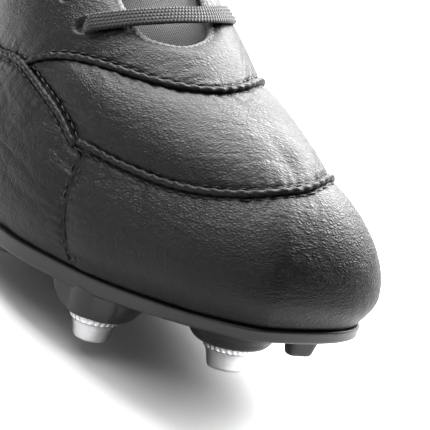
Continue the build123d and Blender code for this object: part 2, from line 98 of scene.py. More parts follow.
STUDS = {
    "front_outer": (237.2, -25.0, 10.0),
    "front_inner": (255.8, 10.8, 10.0),
    "ball_outer": (168.0, -29.0, 10.0),
    "ball_inner": (178.0, 25.0, 10.0),
    "heel_outer": (38.0, -19.0, 14.0),
    "heel_inner": (38.0, 18.0, 14.0),
}
TOE_STUD = (274.0, 24.0)


def construction_origin():
    """Where the construction's zero point lies in the row frame, in mm."""
    sole_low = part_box("soleplate")[0]
    blade_low, blade_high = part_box("toe_stud")
    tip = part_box("stud_cone_ball_outer")[0]
    x = sole_low.x / MM
    y = (blade_low.y + blade_high.y) / 2 / MM - TOE_STUD[1]
    z = tip.z / MM + BOSS_HEIGHT + 0.05 + STUDS["ball_outer"][2]
    return np.array([x, y, z])


ORIGIN = construction_origin()


def placed(points):
    """Construction millimetres to row-frame metres."""
    return (np.asarray(points, float) + ORIGIN) * MM


# ---- curves and the lasted surface -------------------------------------------
def smooth(knots, x):
    """Cubic through the knots, with the slope at each knot taken from its neighbours."""
    k = np.array(knots, float)
    x = np.clip(x, k[0, 0], k[-1, 0])
    chord = np.diff(k[:, 1]) / np.diff(k[:, 0])
    weight = (k[1:-1, 0] - k[:-2, 0]) / (k[2:, 0] - k[:-2, 0])
    slope = np.concatenate([chord[:1], chord[:-1] * (1 - weight) + chord[1:] * weight, chord[-1:]])
    i = np.clip(np.searchsorted(k[:, 0], x, side="left") - 1, 0, len(k) - 2)
    h = k[i + 1, 0] - k[i, 0]
    t = (x - k[i, 0]) / h
    return ((2 * t**3 - 3 * t**2 + 1) * k[i, 1] + (t**3 - 2 * t**2 + t) * h * slope[i]
            + (3 * t**2 - 2 * t**3) * k[i + 1, 1] + (t**3 - t**2) * h * slope[i + 1])


def outline_s(x):
    return np.arccos(np.clip(1 - 2 * np.asarray(x, float) / SOLE_LENGTH, -1, 1)) / math.pi


def outline_x(s):
    return SOLE_LENGTH * (1 - np.cos(math.pi * np.asarray(s, float))) / 2


OUTER_KNOTS = [(float(outline_s(x)), outer) for x, outer, inner in OUTLINE]
INNER_KNOTS = [(float(outline_s(x)), inner) for x, outer, inner in OUTLINE]


def outline_y(side, s):
    return np.where(np.asarray(side) < 0, smooth(OUTER_KNOTS, s), smooth(INNER_KNOTS, s))


def crest_x(x):
    toe = np.maximum(x - TOE_GATHER_START, 0)
    heel = np.maximum(HEEL_GATHER_START - x, 0)
    return (x - TOE_GATHER * toe**2 / (SOLE_LENGTH - TOE_GATHER_START)
            + HEEL_GATHER * heel**2 / HEEL_GATHER_START)


def pull_line(side, s):
    fx = outline_x(s)
    fy = outline_y(side, s)
    rx = crest_x(fx)
    rs = outline_s(rx)
    ry = (outline_y(-1, rs) + outline_y(1, rs)) / 2 + smooth(CREST_SHIFT, rx)
    base = smooth(ROCKER, fx) + RIM_HEIGHT + FEATHER_LIFT
    return fx, fy, rx, ry, base, smooth(CREST, rx) - base


def side_bulge(h):
    t = np.minimum(h / BULGE_HEIGHT, 1)
    return SIDE_BULGE * 6.75 * t * (1 - t) ** 2


def wrap(a):
    a = np.asarray(a, float)
    return np.where(a > 1, a - 2, np.where(a < -1, a + 2, a))


def lasted(a, tau):
    """Outer face of the upper: a is 0 at the toe tip and -1 or 1 at the heel's back, negative on the
    outer side, and tau is 0 at the sole and 1 on the crest."""
    a, tau = np.broadcast_arrays(wrap(a), np.asarray(tau, float))
    fx, fy, rx, ry, base, rise = pull_line(np.where(a < 0, -1, 1), 1 - np.abs(a))
    run = np.hypot(rx - fx, ry - fy)
    angle = tau * math.pi / 2
    c = np.maximum(np.cos(angle), 0) ** (2 / SIDE_POWER)
    h = rise * np.maximum(np.sin(angle), 0) ** (2 / TOP_POWER)
    inset = FEATHER_INSET + (run - FEATHER_INSET) * (1 - c) - side_bulge(h)
    return np.stack([fx + (rx - fx) / run * inset, fy + (ry - fy) / run * inset, base + h], -1)


def unit(v):
    return v / np.maximum(np.linalg.norm(v, axis=-1, keepdims=True), 1e-9)


def face_normal(a, tau):
    along = lasted(a + 0.004, tau) - lasted(a - 0.004, tau)
    across = lasted(a, np.minimum(tau + 0.01, 1.0)) - lasted(a, np.maximum(tau - 0.01, 0.001))
    return unit(np.cross(along, across))


def arch_to_lasted(s, w):
    """Outline position and share over the foot (-1 outer feather, 0 crest, 1 inner feather)."""
    side = np.where(np.asarray(w, float) < 0, -1.0, 1.0)
    s, w = np.broadcast_arrays(np.asarray(s, float), np.asarray(w, float))
    return side * (1 - s), 1 - np.abs(w)


def find_root(function, low, high):
    low = np.array(low, float)
    high = np.array(high, float)
    start = function(low) > 0
    for _ in range(34):
        middle = (low + high) / 2
        same = (function(middle) > 0) == start
        low = np.where(same, middle, low)
        high = np.where(same, high, middle)
    return (low + high) / 2


def gathered_from(x):
    span = SOLE_LENGTH - TOE_GATHER_START
    inside = 1 - 4 * TOE_GATHER * (x - TOE_GATHER_START) / span
    run = (1 - np.sqrt(np.maximum(inside, 0))) * span / (2 * TOE_GATHER)
    return TOE_GATHER_START + np.minimum(run, span)


def locate(x, y):
    """Pull line and height fraction of the face above the plan points x, y."""
    x, y = np.broadcast_arrays(np.asarray(x, float), np.asarray(y, float))
    best_excess = np.full(x.shape, 1e9)
    best_a = np.zeros(x.shape)
    best_tau = np.ones(x.shape)
    for side in (-1, 1):
        def turn(t):
            fx, fy, rx, ry = pull_line(side, t)[:4]
            return side * ((rx - fx) * (y - fy) - (ry - fy) * (x - fx))

        first = outline_s(x)
        last = outline_s(np.where(x < crest_x(SOLE_LENGTH), gathered_from(x), SOLE_LENGTH))
        gathered = x > TOE_GATHER_START
        usable = ~gathered | ((turn(first) > 0) != (turn(last) > 0))
        s = np.where(gathered, find_root(turn, first, last), first)
        fx, fy, rx, ry, base, rise = pull_line(side, s)
        run = np.hypot(rx - fx, ry - fy)
        inset = ((x - fx) * (rx - fx) + (y - fy) * (ry - fy)) / run
        bulge = np.zeros(x.shape)
        for _ in range(12):
            c = np.clip(1 - (inset + bulge - FEATHER_INSET) / (run - FEATHER_INSET), 0, 1)
            angle = np.arccos(c ** (SIDE_POWER / 2))
            bulge = side_bulge(rise * np.sin(angle) ** (2 / TOP_POWER))
        excess = np.where(usable, np.maximum(inset - run, 0), 1e8)
        better = excess < best_excess
        best_excess = np.where(better, excess, best_excess)
        best_a = np.where(better, side * (1 - s), best_a)
        best_tau = np.where(better, angle * 2 / math.pi, best_tau)
    return best_a, best_tau


def between(start, end, t):
    return start + (end - start) * t


def arc_x(arc, y):
    apex, curvature, centre = arc
    return apex - curvature * (y - centre) ** 2


def side_seam(a):
    return smooth(SIDE_SEAM, 1 - np.abs(wrap(a)))


def tau_at_height(a, z):
    a = wrap(a)
    base, rise = pull_line(np.where(a < 0, -1, 1), 1 - np.abs(a))[4:]
    part = np.clip((z - base) / rise, 0, 1)
    return np.arcsin(part ** (TOP_POWER / 2)) * 2 / math.pi


def collar_edge(a, drop=0.0):
    return tau_at_height(a, smooth(COLLAR, outline_x(1 - np.abs(wrap(a)))) - drop)


def front_arc_tau(a):
    def ahead(tau):
        p = lasted(a, tau)
        return p[..., 0] - arc_x(FRONT_ARC, p[..., 1])

    return find_root(ahead, np.zeros(np.shape(a)), np.full(np.shape(a), 0.98))


def rear_arc_s(share):
    def ahead(s):
        w = share * (1 - side_seam(1 - s))
        p = lasted(*arch_to_lasted(s, w))
        return p[..., 0] - arc_x(REAR_ARC, p[..., 1])

    return find_root(ahead, np.full(np.shape(share), 0.45), np.full(np.shape(share), 0.80))


def spline(points, count):
    """Evenly spaced points on the Catmull-Rom curve through the points."""
    p = np.array(points, float)
    p = np.vstack([2 * p[0] - p[1], p, 2 * p[-1] - p[-2]])
    fine = []
    for k in range(1, len(p) - 2):
        t = np.linspace(0, 1, 24, endpoint=False)[:, None]
        a, b, c, d = p[k - 1], p[k], p[k + 1], p[k + 2]
        fine.append(b + 0.5 * t * (c - a + t * (2 * a - 5 * b + 4 * c - d + t * (3 * (b - c) + d - a))))
    fine = np.vstack(fine + [p[-2][None]])
    return resampled(fine, count)


def run_lengths(points):
    steps = np.linalg.norm(np.diff(points, axis=0), axis=-1)
    return np.concatenate([[0], np.cumsum(steps)])


def resampled(points, count):
    lengths = run_lengths(points)
    want = np.linspace(0, lengths[-1], count)
    return np.stack([np.interp(want, lengths, points[:, k]) for k in range(points.shape[1])], -1)


def smoothstep(t):
    t = np.clip(t, 0, 1)
    return t * t * (3 - 2 * t)


# ---- seeded noise for creases -------------------------------------------------
LATTICE = np.random.default_rng(31).random((256, 256))


def noise(u, v, layer=0):
    """Smooth value noise from -1 to 1 with a feature size of about 1."""
    u = np.asarray(u, float) + 37.3 * layer
    v = np.asarray(v, float) + 91.7 * layer
    i = np.floor(u).astype(int)
    j = np.floor(v).astype(int)
    p = smoothstep(u - i)
    q = smoothstep(v - j)

    def node(di, dj):
        return LATTICE[(i + di) % 256, (j + dj) % 256]

    low = node(0, 0) * (1 - p) + node(1, 0) * p
    high = node(0, 1) * (1 - p) + node(1, 1) * p
    return 2 * (low * (1 - q) + high * q) - 1


def ridges(u, v, layer=0):
    """Sharp creases between rounded swells, from 0 in a crease to 1."""
    return np.sqrt(np.abs(noise(u, v, layer)))


# ---- meshes --------------------------------------------------------------------
def new_object(name, data):
    made = bpy.data.objects.new(name, data)
    bpy.context.scene.collection.objects.link(made)
    return made


def full_turn(count):
    return np.linspace(0, 2 * math.pi, count, endpoint=False)


def circle(side, fore, theta, radius=1.0):
    """Points round the origin in the plane of two unit vectors."""
    return side * (np.cos(theta) * radius)[:, None] + fore * (np.sin(theta) * radius)[:, None]


def new_piece(name, points, faces, material, body="boot", uvs=None, slot=None, stands_for=()):
    """Mesh object from construction-space points and quads or triangles, riding on a body."""
    mesh = bpy.data.meshes.new(name)
    mesh.from_pydata(placed(points).tolist(), [], [list(map(int, f)) for f in faces])
    mesh.polygons.foreach_set("use_smooth", [True] * len(mesh.polygons))
    if uvs is not None:
        layer = mesh.uv_layers.new(name="span")
        corner = np.zeros(len(mesh.loops), int)
        mesh.loops.foreach_get("vertex_index", corner)
        layer.data.foreach_set("uv", np.asarray(uvs, float)[corner].ravel())
    mesh.materials.append(material)
    piece = new_object(name, mesh)
    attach(piece, body)
    if stands_for:
        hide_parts(*stands_for)
    return piece


def grid_faces(nu, nv, start=0, wrap_u=False, flip=False):
    """Quads of a grid of nu by nv points stored row by row."""
    i = np.arange(nu if wrap_u else nu - 1)
    j = np.arange(nv - 1)
    i, j = np.meshgrid(i, j, indexing="ij")
    i, j = i.ravel(), j.ravel()
    after = (i + 1) % nu
    quads = np.stack([i * nv + j, after * nv + j, after * nv + j + 1, i * nv + j + 1], -1) + start
    return quads[:, ::-1] if flip else quads


def shell(outer, inner, normals):
    """Points and quads of a closed shell between two grids of the same size."""
    nu, nv = outer.shape[:2]
    size = nu * nv
    mid = (nu // 2, nv // 2)
    along = outer[mid[0] + 1, mid[1]] - outer[mid[0], mid[1]]
    across = outer[mid[0], mid[1] + 1] - outer[mid[0], mid[1]]
    flip = np.dot(np.cross(along, across), normals[mid]) < 0
    faces = [grid_faces(nu, nv, 0, flip=flip), grid_faces(nu, nv, size, flip=not flip)]
    index = np.arange(size).reshape(nu, nv)
    ring = np.concatenate([index[:-1, 0], index[-1, :-1], index[:0:-1, -1], index[0, :0:-1]])
    after = np.roll(ring, -1)
    wall = np.stack([after, ring, ring + size, after + size], -1)
    faces.append(wall[:, ::-1] if flip else wall)
    return np.vstack([outer.reshape(-1, 3), inner.reshape(-1, 3)]), np.vstack(faces)


def loop_tube(sections, caps=True):
    """Points and faces of a tube through closed sections, an array (along, round, 3)."""
    n, m = sections.shape[:2]
    faces = [list(f) for f in grid_faces(m, n, 0, wrap_u=True)]
    points = sections.transpose(1, 0, 2).reshape(-1, 3)
    if caps:
        faces.append([k * n for k in range(m)][::-1])
        faces.append([k * n + n - 1 for k in range(m)])
    return points, faces


def joined(parts):
    """Several (points, faces) as one."""
    points, faces, start = [], [], 0
    for p, f in parts:
        points.append(p)
        faces += [[i + start for i in face] for face in f]
        start += len(p)
    return np.vstack(points), faces


# ---- materials -----------------------------------------------------------------
class Shader:
    """Small helper that adds and links nodes of one material."""

    def __init__(self, name):
        self.material = bpy.data.materials.new(name)
        self.material.use_nodes = True
        self.tree = self.material.node_tree
        self.surface = self.tree.nodes["Principled BSDF"]
        self.object = self.node("ShaderNodeTexCoord").outputs["Object"]
        self.uv = self.node("ShaderNodeTexCoord").outputs["UV"]

    def node(self, kind, inputs=(), **settings):
        made = self.tree.nodes.new(kind)
        for key, value in settings.items():
            setattr(made, key, value)
        for key, value in dict(inputs).items():
            if isinstance(value, bpy.types.NodeSocket):
                self.tree.links.new(value, made.inputs[key])
            else:
                made.inputs[key].default_value = value
        return made

    def scaled(self, vector, scale):
        return self.node("ShaderNodeMapping", {"Vector": vector, "Scale": scale}).outputs["Vector"]

    def noise(self, vector, scale, detail=3.0, rough=0.5):
        made = self.node("ShaderNodeTexNoise", {"Vector": vector, "Scale": scale, "Detail": detail,
                                                "Roughness": rough})
        return made.outputs["Fac"]

    def cells(self, vector, scale):
        made = self.node("ShaderNodeTexVoronoi", {"Vector": vector, "Scale": scale},
                         feature="DISTANCE_TO_EDGE")
        return made.outputs["Distance"]

    def waves(self, vector, scale, direction, distortion):
        made = self.node("ShaderNodeTexWave", {"Vector": vector, "Scale": scale, "Distortion": distortion,
                                               "Detail": 1.0, "Detail Scale": 2.0},
                         bands_direction=direction)
        return made.outputs["Fac"]

    def math(self, operation, a, b):
        return self.node("ShaderNodeMath", {0: a, 1: b}, operation=operation).outputs[0]

    def plus(self, a, b, share):
        """a and share of b together."""
        return self.math("ADD", a, self.math("MULTIPLY", b, share))

    def ramp(self, value, low, high, to_low=0.0, to_high=1.0):
        made = self.node("ShaderNodeMapRange", {"Value": value, "From Min": low, "From Max": high,
                                                "To Min": to_low, "To Max": to_high})
        return made.outputs["Result"]

    def colours(self, value, dark, light):
        made = self.node("ShaderNodeMix", {"Factor": value}, data_type="RGBA")
        made.inputs["A"].default_value = (*dark, 1)
        made.inputs["B"].default_value = (*light, 1)
        return made.outputs["Result"]

    def bump(self, height, distance, strength):
        made = self.node("ShaderNodeBump", {"Height": height, "Distance": distance, "Strength": strength})
        return made.outputs["Normal"]

    def set(self, **inputs):
        for key, value in inputs.items():
            socket = self.surface.inputs[key.replace("_", " ")]
            if isinstance(value, bpy.types.NodeSocket):
                self.tree.links.new(value, socket)
            else:
                socket.default_value = value


def leather_material():
    """Black full-grain leather: pebbled grain drawn out along the boot, satin finish, dusty creases."""
    sh = Shader("black_leather_grain")
    drawn = sh.scaled(sh.object, (1.0, 0.72, 1.30))
    warp = sh.node("ShaderNodeTexNoise", {"Vector": drawn, "Scale": 240.0, "Detail": 2.0})
    shift = sh.node("ShaderNodeVectorMath", {0: warp.outputs["Color"], "Scale": 0.0022}, operation="SCALE")
    broken = sh.node("ShaderNodeVectorMath", {0: drawn, 1: shift.outputs["Vector"]}, operation="ADD")
    grain = sh.cells(broken.outputs["Vector"], 900.0)
    pebble = sh.ramp(grain, 0.0, 0.45)
    swell = sh.noise(drawn, 500.0, 4.0, 0.62)
    pores = sh.noise(sh.object, 2400.0, 2.0, 0.6)
    height = sh.plus(sh.plus(sh.math("MULTIPLY", swell, 0.95), pebble, 0.30), pores, 0.12)
    wear = sh.ramp(sh.noise(sh.object, 42.0, 4.0, 0.6), 0.42, 0.72)
    colour = sh.colours(wear, (0.0020, 0.0020, 0.0021), (0.0048, 0.0048, 0.0051))
    gloss = sh.math("ADD", sh.ramp(wear, 0.0, 1.0, 0.43, 0.50), sh.ramp(pebble, 0.0, 1.0, 0.10, 0.0))
    sh.set(Base_Color=colour, Roughness=gloss, Normal=sh.bump(height, 0.00036, 0.95))
    sh.set(Specular_IOR_Level=0.42)
    return sh.material


def piping_material():
    """The same leather rolled over a seam, where the grain is stretched smoother."""
    sh = Shader("piping_leather_grain")
    grain = sh.cells(sh.object, 1300.0)
    swell = sh.noise(sh.object, 900.0, 3.0, 0.6)
    height = sh.plus(swell, sh.ramp(grain, 0.0, 0.3), 0.4)
    wear = sh.ramp(sh.noise(sh.object, 70.0, 3.0, 0.6), 0.4, 0.75)
    sh.set(Base_Color=sh.colours(wear, (0.0025, 0.0025, 0.0027), (0.0065, 0.0065, 0.0068)),
           Roughness=sh.ramp(wear, 0.0, 1.0, 0.48, 0.56), Normal=sh.bump(height, 0.00022, 0.8))
    sh.set(Specular_IOR_Level=0.36)
    return sh.material


def thread_material():
    """Waxed black sewing thread with its twist, painted darker in the twist's grooves and lighter on its
    ridges as painted shade.
    """
    sh = Shader("stitch_thread")
    twist = sh.waves(sh.object, 620.0, "DIAGONAL", 1.5)
    fuzz = sh.noise(sh.object, 3000.0, 2.0)
    # painted shade: the thread's colour follows its twist, darker in the grooves and lighter on the ridges
    colour = sh.colours(twist, (0.012, 0.012, 0.013), (0.045, 0.045, 0.047))
    sh.set(Base_Color=colour, Roughness=sh.ramp(fuzz, 0.3, 0.7, 0.42, 0.60),
           Normal=sh.bump(twist, 0.00012, 0.8))
    return sh.material


def textile_material(name, dark, light, rib_scale):
    """Fine ribbed knit, from the uv spans of the piece in mm, with painted shade in the knit's grooves and
    real dirt patches in its colour.
    """
    sh = Shader(name)
    ribs = sh.waves(sh.uv, rib_scale, "Y", 0.6)
    loops = sh.waves(sh.uv, rib_scale * 1.35, "X", 1.2)
    fibre = sh.noise(sh.object, 2400.0, 3.0, 0.7)
    weave = sh.plus(sh.math("MULTIPLY", ribs, 0.7), loops, 0.35)
    height = sh.plus(weave, fibre, 0.35)
    dirt = sh.ramp(sh.noise(sh.object, 55.0, 3.0, 0.6), 0.35, 0.75, 0.0, 0.4)
    # painted shade: the knit's colour follows its ribs and loops, darker in their grooves and lighter on
    # their crowns; the dirt patches taken off are real dirt
    shade = sh.math("SUBTRACT", weave, dirt)
    sh.set(Base_Color=sh.colours(shade, dark, light), Roughness=0.86, Normal=sh.bump(height, 0.00022, 0.8))
    sh.set(Sheen_Weight=0.25, Sheen_Roughness=0.5)
    return sh.material


def moulded_material():
    """Dark grey moulded polyurethane: faint orange peel, scuffs, satin edge."""
    sh = Shader("moulded_sole_tpu")
    peel = sh.noise(sh.object, 700.0, 2.0, 0.5)
    flow = sh.noise(sh.scaled(sh.object, (0.3, 1.0, 1.0)), 60.0, 4.0, 0.6)
    scuff = sh.ramp(sh.noise(sh.scaled(sh.object, (1.0, 0.25, 1.0)), 900.0, 2.0, 0.7), 0.62, 0.72)
    colour = sh.colours(sh.ramp(flow, 0.35, 0.7), (0.014, 0.014, 0.015), (0.022, 0.022, 0.0235))
    rough = sh.plus(sh.ramp(flow, 0.3, 0.7, 0.36, 0.44), scuff, 0.14)
    sh.set(Base_Color=colour, Roughness=rough, Normal=sh.bump(peel, 0.00006, 0.5))
    sh.set(Specular_IOR_Level=0.5)
    return sh.material


def aluminium_material():
    """Bright turned aluminium with fine lathe rings and small dents."""
    sh = Shader("stud_aluminium_turned")
    rings = sh.waves(sh.object, 1500.0, "Z", 0.4)
    dents = sh.noise(sh.object, 420.0, 3.0, 0.6)
    scratch = sh.ramp(sh.noise(sh.scaled(sh.object, (1.0, 1.0, 8.0)), 500.0, 3.0, 0.7), 0.55, 0.75)
    height = sh.plus(dents, rings, 0.25)
    colour = sh.colours(scratch, (0.66, 0.66, 0.67), (0.50, 0.50, 0.51))
    rough = sh.plus(sh.ramp(dents, 0.3, 0.7, 0.07, 0.14), scratch, 0.12)
    sh.set(Base_Color=colour, Metallic=1.0, Roughness=rough, Normal=sh.bump(height, 0.00004, 0.6))
    return sh.material


def steel_material():
    sh = Shader("machined_steel")
    thread = sh.waves(sh.object, 390.0, "Z", 0.0)
    grime = sh.ramp(sh.noise(sh.object, 300.0, 4.0, 0.6), 0.45, 0.7)
    sh.set(Base_Color=sh.colours(grime, (0.56, 0.56, 0.57), (0.30, 0.29, 0.28)), Metallic=1.0,
           Roughness=sh.ramp(grime, 0.0, 1.0, 0.25, 0.5), Normal=sh.bump(thread, 0.0003, 0.9))
    return sh.material


def lace_material():
    """Flat black polyester braid: lengthwise ribs of small slanted stitches, from uv spans in mm, with
    painted shade in the grooves between the ribs and between the strands.
    """
    sh = Shader("black_lace_braid")
    slant = sh.node("ShaderNodeMapping", {"Vector": sh.uv, "Rotation": (0, 0, 0.45)}).outputs["Vector"]
    # rib bands moved to lie on the section's ribs, so that the painted shade falls in the braid's grooves
    centred = sh.node("ShaderNodeMapping", {"Vector": sh.uv, "Location": (0, 0.7, 0)}).outputs["Vector"]
    ribs = sh.waves(centred, 0.2244, "Y", 0.0)
    strands = sh.waves(slant, 0.30, "X", 0.4)
    fibres = sh.noise(sh.object, 2600.0, 3.0, 0.7)
    height = sh.plus(sh.math("MULTIPLY", strands, sh.math("ADD", ribs, 0.3)), fibres, 0.4)
    # painted shade: darker in the grooves between the ribs and between the slanted strands, lighter on their
    # crowns; the fibre noise is the yarn's own tone
    shade = sh.math("MULTIPLY", sh.math("MULTIPLY", ribs, sh.ramp(strands, 0.1, 0.9, 0.35, 1.0)),
                    sh.ramp(fibres, 0.3, 0.7, 0.6, 1.0))
    sh.set(Base_Color=sh.colours(shade, (0.002, 0.002, 0.0025), (0.026, 0.026, 0.0275)), Roughness=0.62,
           Normal=sh.bump(height, 0.00022, 0.9))
    sh.set(Sheen_Weight=0.2, Sheen_Roughness=0.4)
    return sh.material


def aglet_material():
    sh = Shader("aglet_plastic_clear_black")
    crimp = sh.waves(sh.object, 260.0, "DIAGONAL", 0.5)
    haze = sh.noise(sh.object, 500.0, 3.0)
    sh.set(Base_Color=sh.colours(haze, (0.010, 0.010, 0.010), (0.022, 0.022, 0.023)),
           Roughness=sh.ramp(haze, 0.3, 0.7, 0.14, 0.26), Normal=sh.bump(crimp, 0.00008, 0.5))
    sh.set(Coat_Weight=0.4, Coat_Roughness=0.1)
    return sh.material


def board_material():
    sh = Shader("fibre_board")
    fibre = sh.noise(sh.scaled(sh.object, (0.3, 1.0, 1.0)), 900.0, 4.0, 0.7)
    sh.set(Base_Color=sh.colours(fibre, (0.30, 0.25, 0.19), (0.46, 0.40, 0.32)), Roughness=0.9,
           Normal=sh.bump(fibre, 0.0002, 0.6))
    return sh.material


def floor_material():
    sh = Shader("pale_floor")
    soft = sh.noise(sh.object, 3.0, 2.0)
    sh.set(Base_Color=sh.colours(soft, (0.74, 0.74, 0.74), (0.77, 0.77, 0.77)), Roughness=0.8)
    return sh.material


LEATHER_SKIN = leather_material()
PIPING = piping_material()
THREAD = thread_material()
LINING = textile_material("lining_knit", (0.05, 0.05, 0.052), (0.14, 0.14, 0.145), 0.30)
TONGUE_KNIT = textile_material("tongue_knit", (0.028, 0.028, 0.029), (0.085, 0.085, 0.087), 0.33)
BINDING_KNIT = textile_material("binding_knit", (0.09, 0.09, 0.092), (0.30, 0.30, 0.305), 0.55)
INSOLE_KNIT = textile_material("insole_knit", (0.035, 0.035, 0.037), (0.10, 0.10, 0.105), 0.35)
MOULDED = moulded_material()
ALUMINIUM = aluminium_material()
STEEL = steel_material()
BRAID = lace_material()
AGLET = aglet_material()
BOARD = board_material()


# ---- leather panels --------------------------------------------------------------
SEEN_STEP = 0.62            # mesh spacing on the side that shows most
PLAIN_STEP = 1.0
TUCK = 0.5                  # how far a panel's edge is drawn down under a raised seam
STITCH_OFFSET = 1.95        # stitch row beside a raised seam
STITCH_PITCH = 3.9
ROW_OFFSET = 1.5            # each stitch row of the flat seam
ROW_PITCH = 2.7
EYELET_R = 2.1
HEM_OFFSET = 3.2            # stitch row below the collar and round the throat


def eyelet_points():
    side = np.tile([-1, 1], len(EYELET_X))
    a, tau = arch_to_lasted(outline_s(np.repeat(EYELET_X, 2) - side * EYELET_SKEW),
                            side * np.repeat(EYELET_W, 2))
    return lasted(a, tau)


EYELETS = eyelet_points()


def relaxed(grid, reach=7):
    """Grid of points eased over its neighbours, its border kept."""
    weights = np.hanning(2 * reach + 3)[1:-1]
    weights /= weights.sum()
    for axis in (0, 1):
        turned = np.moveaxis(grid, axis, 0)
        count = len(turned)
        head = 2 * turned[:1] - turned[reach:0:-1]
        tail = 2 * turned[-1:] - turned[-2:-reach - 2:-1]
        padded = np.concatenate([head, turned, tail])
        turned = sum(w * padded[k:k + count] for k, w in enumerate(weights))
        grid = np.moveaxis(turned, 0, axis)
    return grid


def grid_runs(points):
    """Distances run along both ways of a grid of points."""
    nu, nv = points.shape[:2]
    du = np.linalg.norm(np.diff(points, axis=0), axis=-1)
    dv = np.linalg.norm(np.diff(points, axis=1), axis=-1)
    return np.vstack([np.zeros((1, nv)), np.cumsum(du, 0)]), np.hstack([np.zeros((nu, 1)), np.cumsum(dv, 1)])


class Spread:
    """Grid of surface points of one panel with its distances, in mm, to its four edges."""

    def __init__(self, face, nu, nv):
        u, v = np.meshgrid(np.linspace(0, 1, nu), np.linspace(0, 1, nv), indexing="ij")
        self.a, self.tau = face(u, v)
        self.points = relaxed(lasted(self.a, self.tau))
        self.normals = unit(relaxed(face_normal(self.a, self.tau)))
        self.along_u, self.along_v = grid_runs(self.points)
        self.from_edge = {
            "u0": self.along_u,
            "u1": self.along_u[-1:] - self.along_u,
            "v0": self.along_v,
            "v1": self.along_v[:, -1:] - self.along_v,
        }

    def run(self, edge):
        """Distance along an edge."""
        return self.along_v if edge[0] == "u" else self.along_u


def seam_relief(spread, edges, puff, layer):
    """Height over the last: drawn down at the seams, puffed between them, puckered along the stitches."""
    lift = np.full(spread.a.shape, puff)
    for number, (edge, kind) in enumerate(edges.items()):
        d = spread.from_edge[edge]
        t = spread.run(edge)
        seed = layer * 7 + number
        if kind == "feather":
            lift *= smoothstep(d / 10)
            lift += 0.10 * np.exp(-d / 9) * smoothstep(d / 1.5) * noise(t / 1.3 + d / 9, d / 9, seed)
            continue
        if kind == "turned":
            lift *= 0.45 + 0.55 * smoothstep(d / 4)
            continue
        if kind == "hem":
            lift *= 0.25 + 0.75 * smoothstep(d / 6)
            lift -= 0.20 * np.exp(-(((d - HEM_OFFSET) / 0.6) ** 2))
            continue
        reach = 9.5 if kind == "rib" else 4.5
        lift *= 1 - np.exp(-((d / reach) ** 1.3))
        if kind == "rib":
            lift -= TUCK * np.exp(-((d / 1.7) ** 2)) + 0.26 * np.exp(-(((d - STITCH_OFFSET) / 0.5) ** 2))
            waves = 0.13 * np.sin(2 * math.pi * t / STITCH_PITCH + 1.5 * noise(t / 15, 0 * t, seed))
            folds = 0.42 * noise(t / 1.9, d / 7, seed) + 0.26 * noise(t / 4.2, d / 12, seed + 3)
            lift += np.exp(-d / 4.0) * smoothstep(d / 1.4) * (waves + folds)
            lift += 0.16 * np.exp(-d / 13) * smoothstep(d / 3) * noise(t / 2.9, d / 10, seed + 5)
        else:
            lift -= 0.10 * np.exp(-((d / 0.35) ** 2)) + 0.20 * np.exp(-(((d - ROW_OFFSET) / 0.45) ** 2))
            folds = 0.40 * noise(t / 1.6, d / 8, seed) + 0.20 * np.sin(2 * math.pi * t / ROW_PITCH)
            lift += np.exp(-d / 4.5) * smoothstep(d / 1.5) * folds
    return lift


def soft_creases(spread, amount, length, pitch, layer, slant=0.0):
    """Fine creases drawn out along u, broken up by slow noise."""
    u = spread.along_u / length
    v = (spread.along_v + slant * spread.along_u) / pitch
    sway = 0.9 * noise(u * 0.6, v * 0.25, layer + 1)
    return amount * (ridges(u, v + sway, layer) - 0.55) * (0.6 + 0.4 * noise(u * 0.5, v * 0.12, layer + 2))


def eyelet_relief(points):
    r = np.full(points.shape[:2], 1e9)
    for centre in EYELETS:
        r = np.minimum(r, np.linalg.norm(points - centre, axis=-1))
    return -2.0 * np.exp(-((r / EYELET_R) ** 4)) + 0.22 * np.exp(-(((r - 3.3) / 1.0) ** 2))


def leather_panel(name, face, nu, nv, edges, puff, layer, extra=None):
    spread = Spread(face, nu, nv)
    lift = seam_relief(spread, edges, puff, layer)
    if extra is not None:
        lift += extra(spread)
    x, y, z = np.moveaxis(spread.points, -1, 0)
    lift += 0.12 * noise(x / 11, y / 11 + z / 9, layer)
    outer = spread.points + spread.normals * lift[..., None]
    inner = spread.points + spread.normals * (np.minimum(lift, 0) - LEATHER)[..., None]
    new_piece(f"{name}_leather", *shell(outer, inner, spread.normals), LEATHER_SKIN, slot="black_leather",
              stands_for=[name])


def toe_face(u, v):
    row = between(ROW_FOOT_S, ROW_TOP_S, v)
    a = between(-(1 - row), 1 - row, u)
    rest = 1 - np.abs(2 * u - 1)
    side = smoothstep(1 - rest / (0.12 * (1 - v) + 0.002))
    return a, between(front_arc_tau(a), side_seam(a), side) * (0.004 + 0.996 * v)


def forefoot_face(u, v):
    y0 = between(*FRONT_ARC_Y, u)
    y1 = between(*REAR_ARC_Y, u)
    x = between(arc_x(FRONT_ARC, y0), arc_x(REAR_ARC, y1), v)
    return locate(x, between(y0, y1, v))


def quarter_face(side):
    def face(u, v):
        s = between(HEEL_S, between(ROW_FOOT_S, ROW_TOP_S, v), u)
        return side * (1 - s), side_seam(1 - s) * (0.006 + 0.994 * v)

    return face


def ankle_face(side):
    def face(u, v):
        a = side * (1 - between(HEEL_S, ANKLE_S, u))
        return a, between(side_seam(a), collar_edge(a), v)

    return face


def heel_face(u, v):
    a = wrap(between(-(1 - HEEL_S), -(1 + HEEL_S), u))
    return a, collar_edge(a) * (0.004 + 0.996 * v)


THROAT_SHARE = 0.37         # share of the throat's edge along each eyestay


def throat_edge(t):
    """Outline position and share over the foot on the throat's edge, t from outer rear to inner rear."""
    plan = spline(THROAT, 401)
    keep = resampled(plan[plan[:, 0] >= outline_x(ANKLE_S)], 401)
    xy = np.stack([np.interp(t, np.linspace(0, 1, 401), keep[:, k]) for k in (0, 1)], -1)
    a, tau = locate(xy[..., 0], xy[..., 1])
    return 1 - np.abs(a), np.sign(a) * (1 - tau)


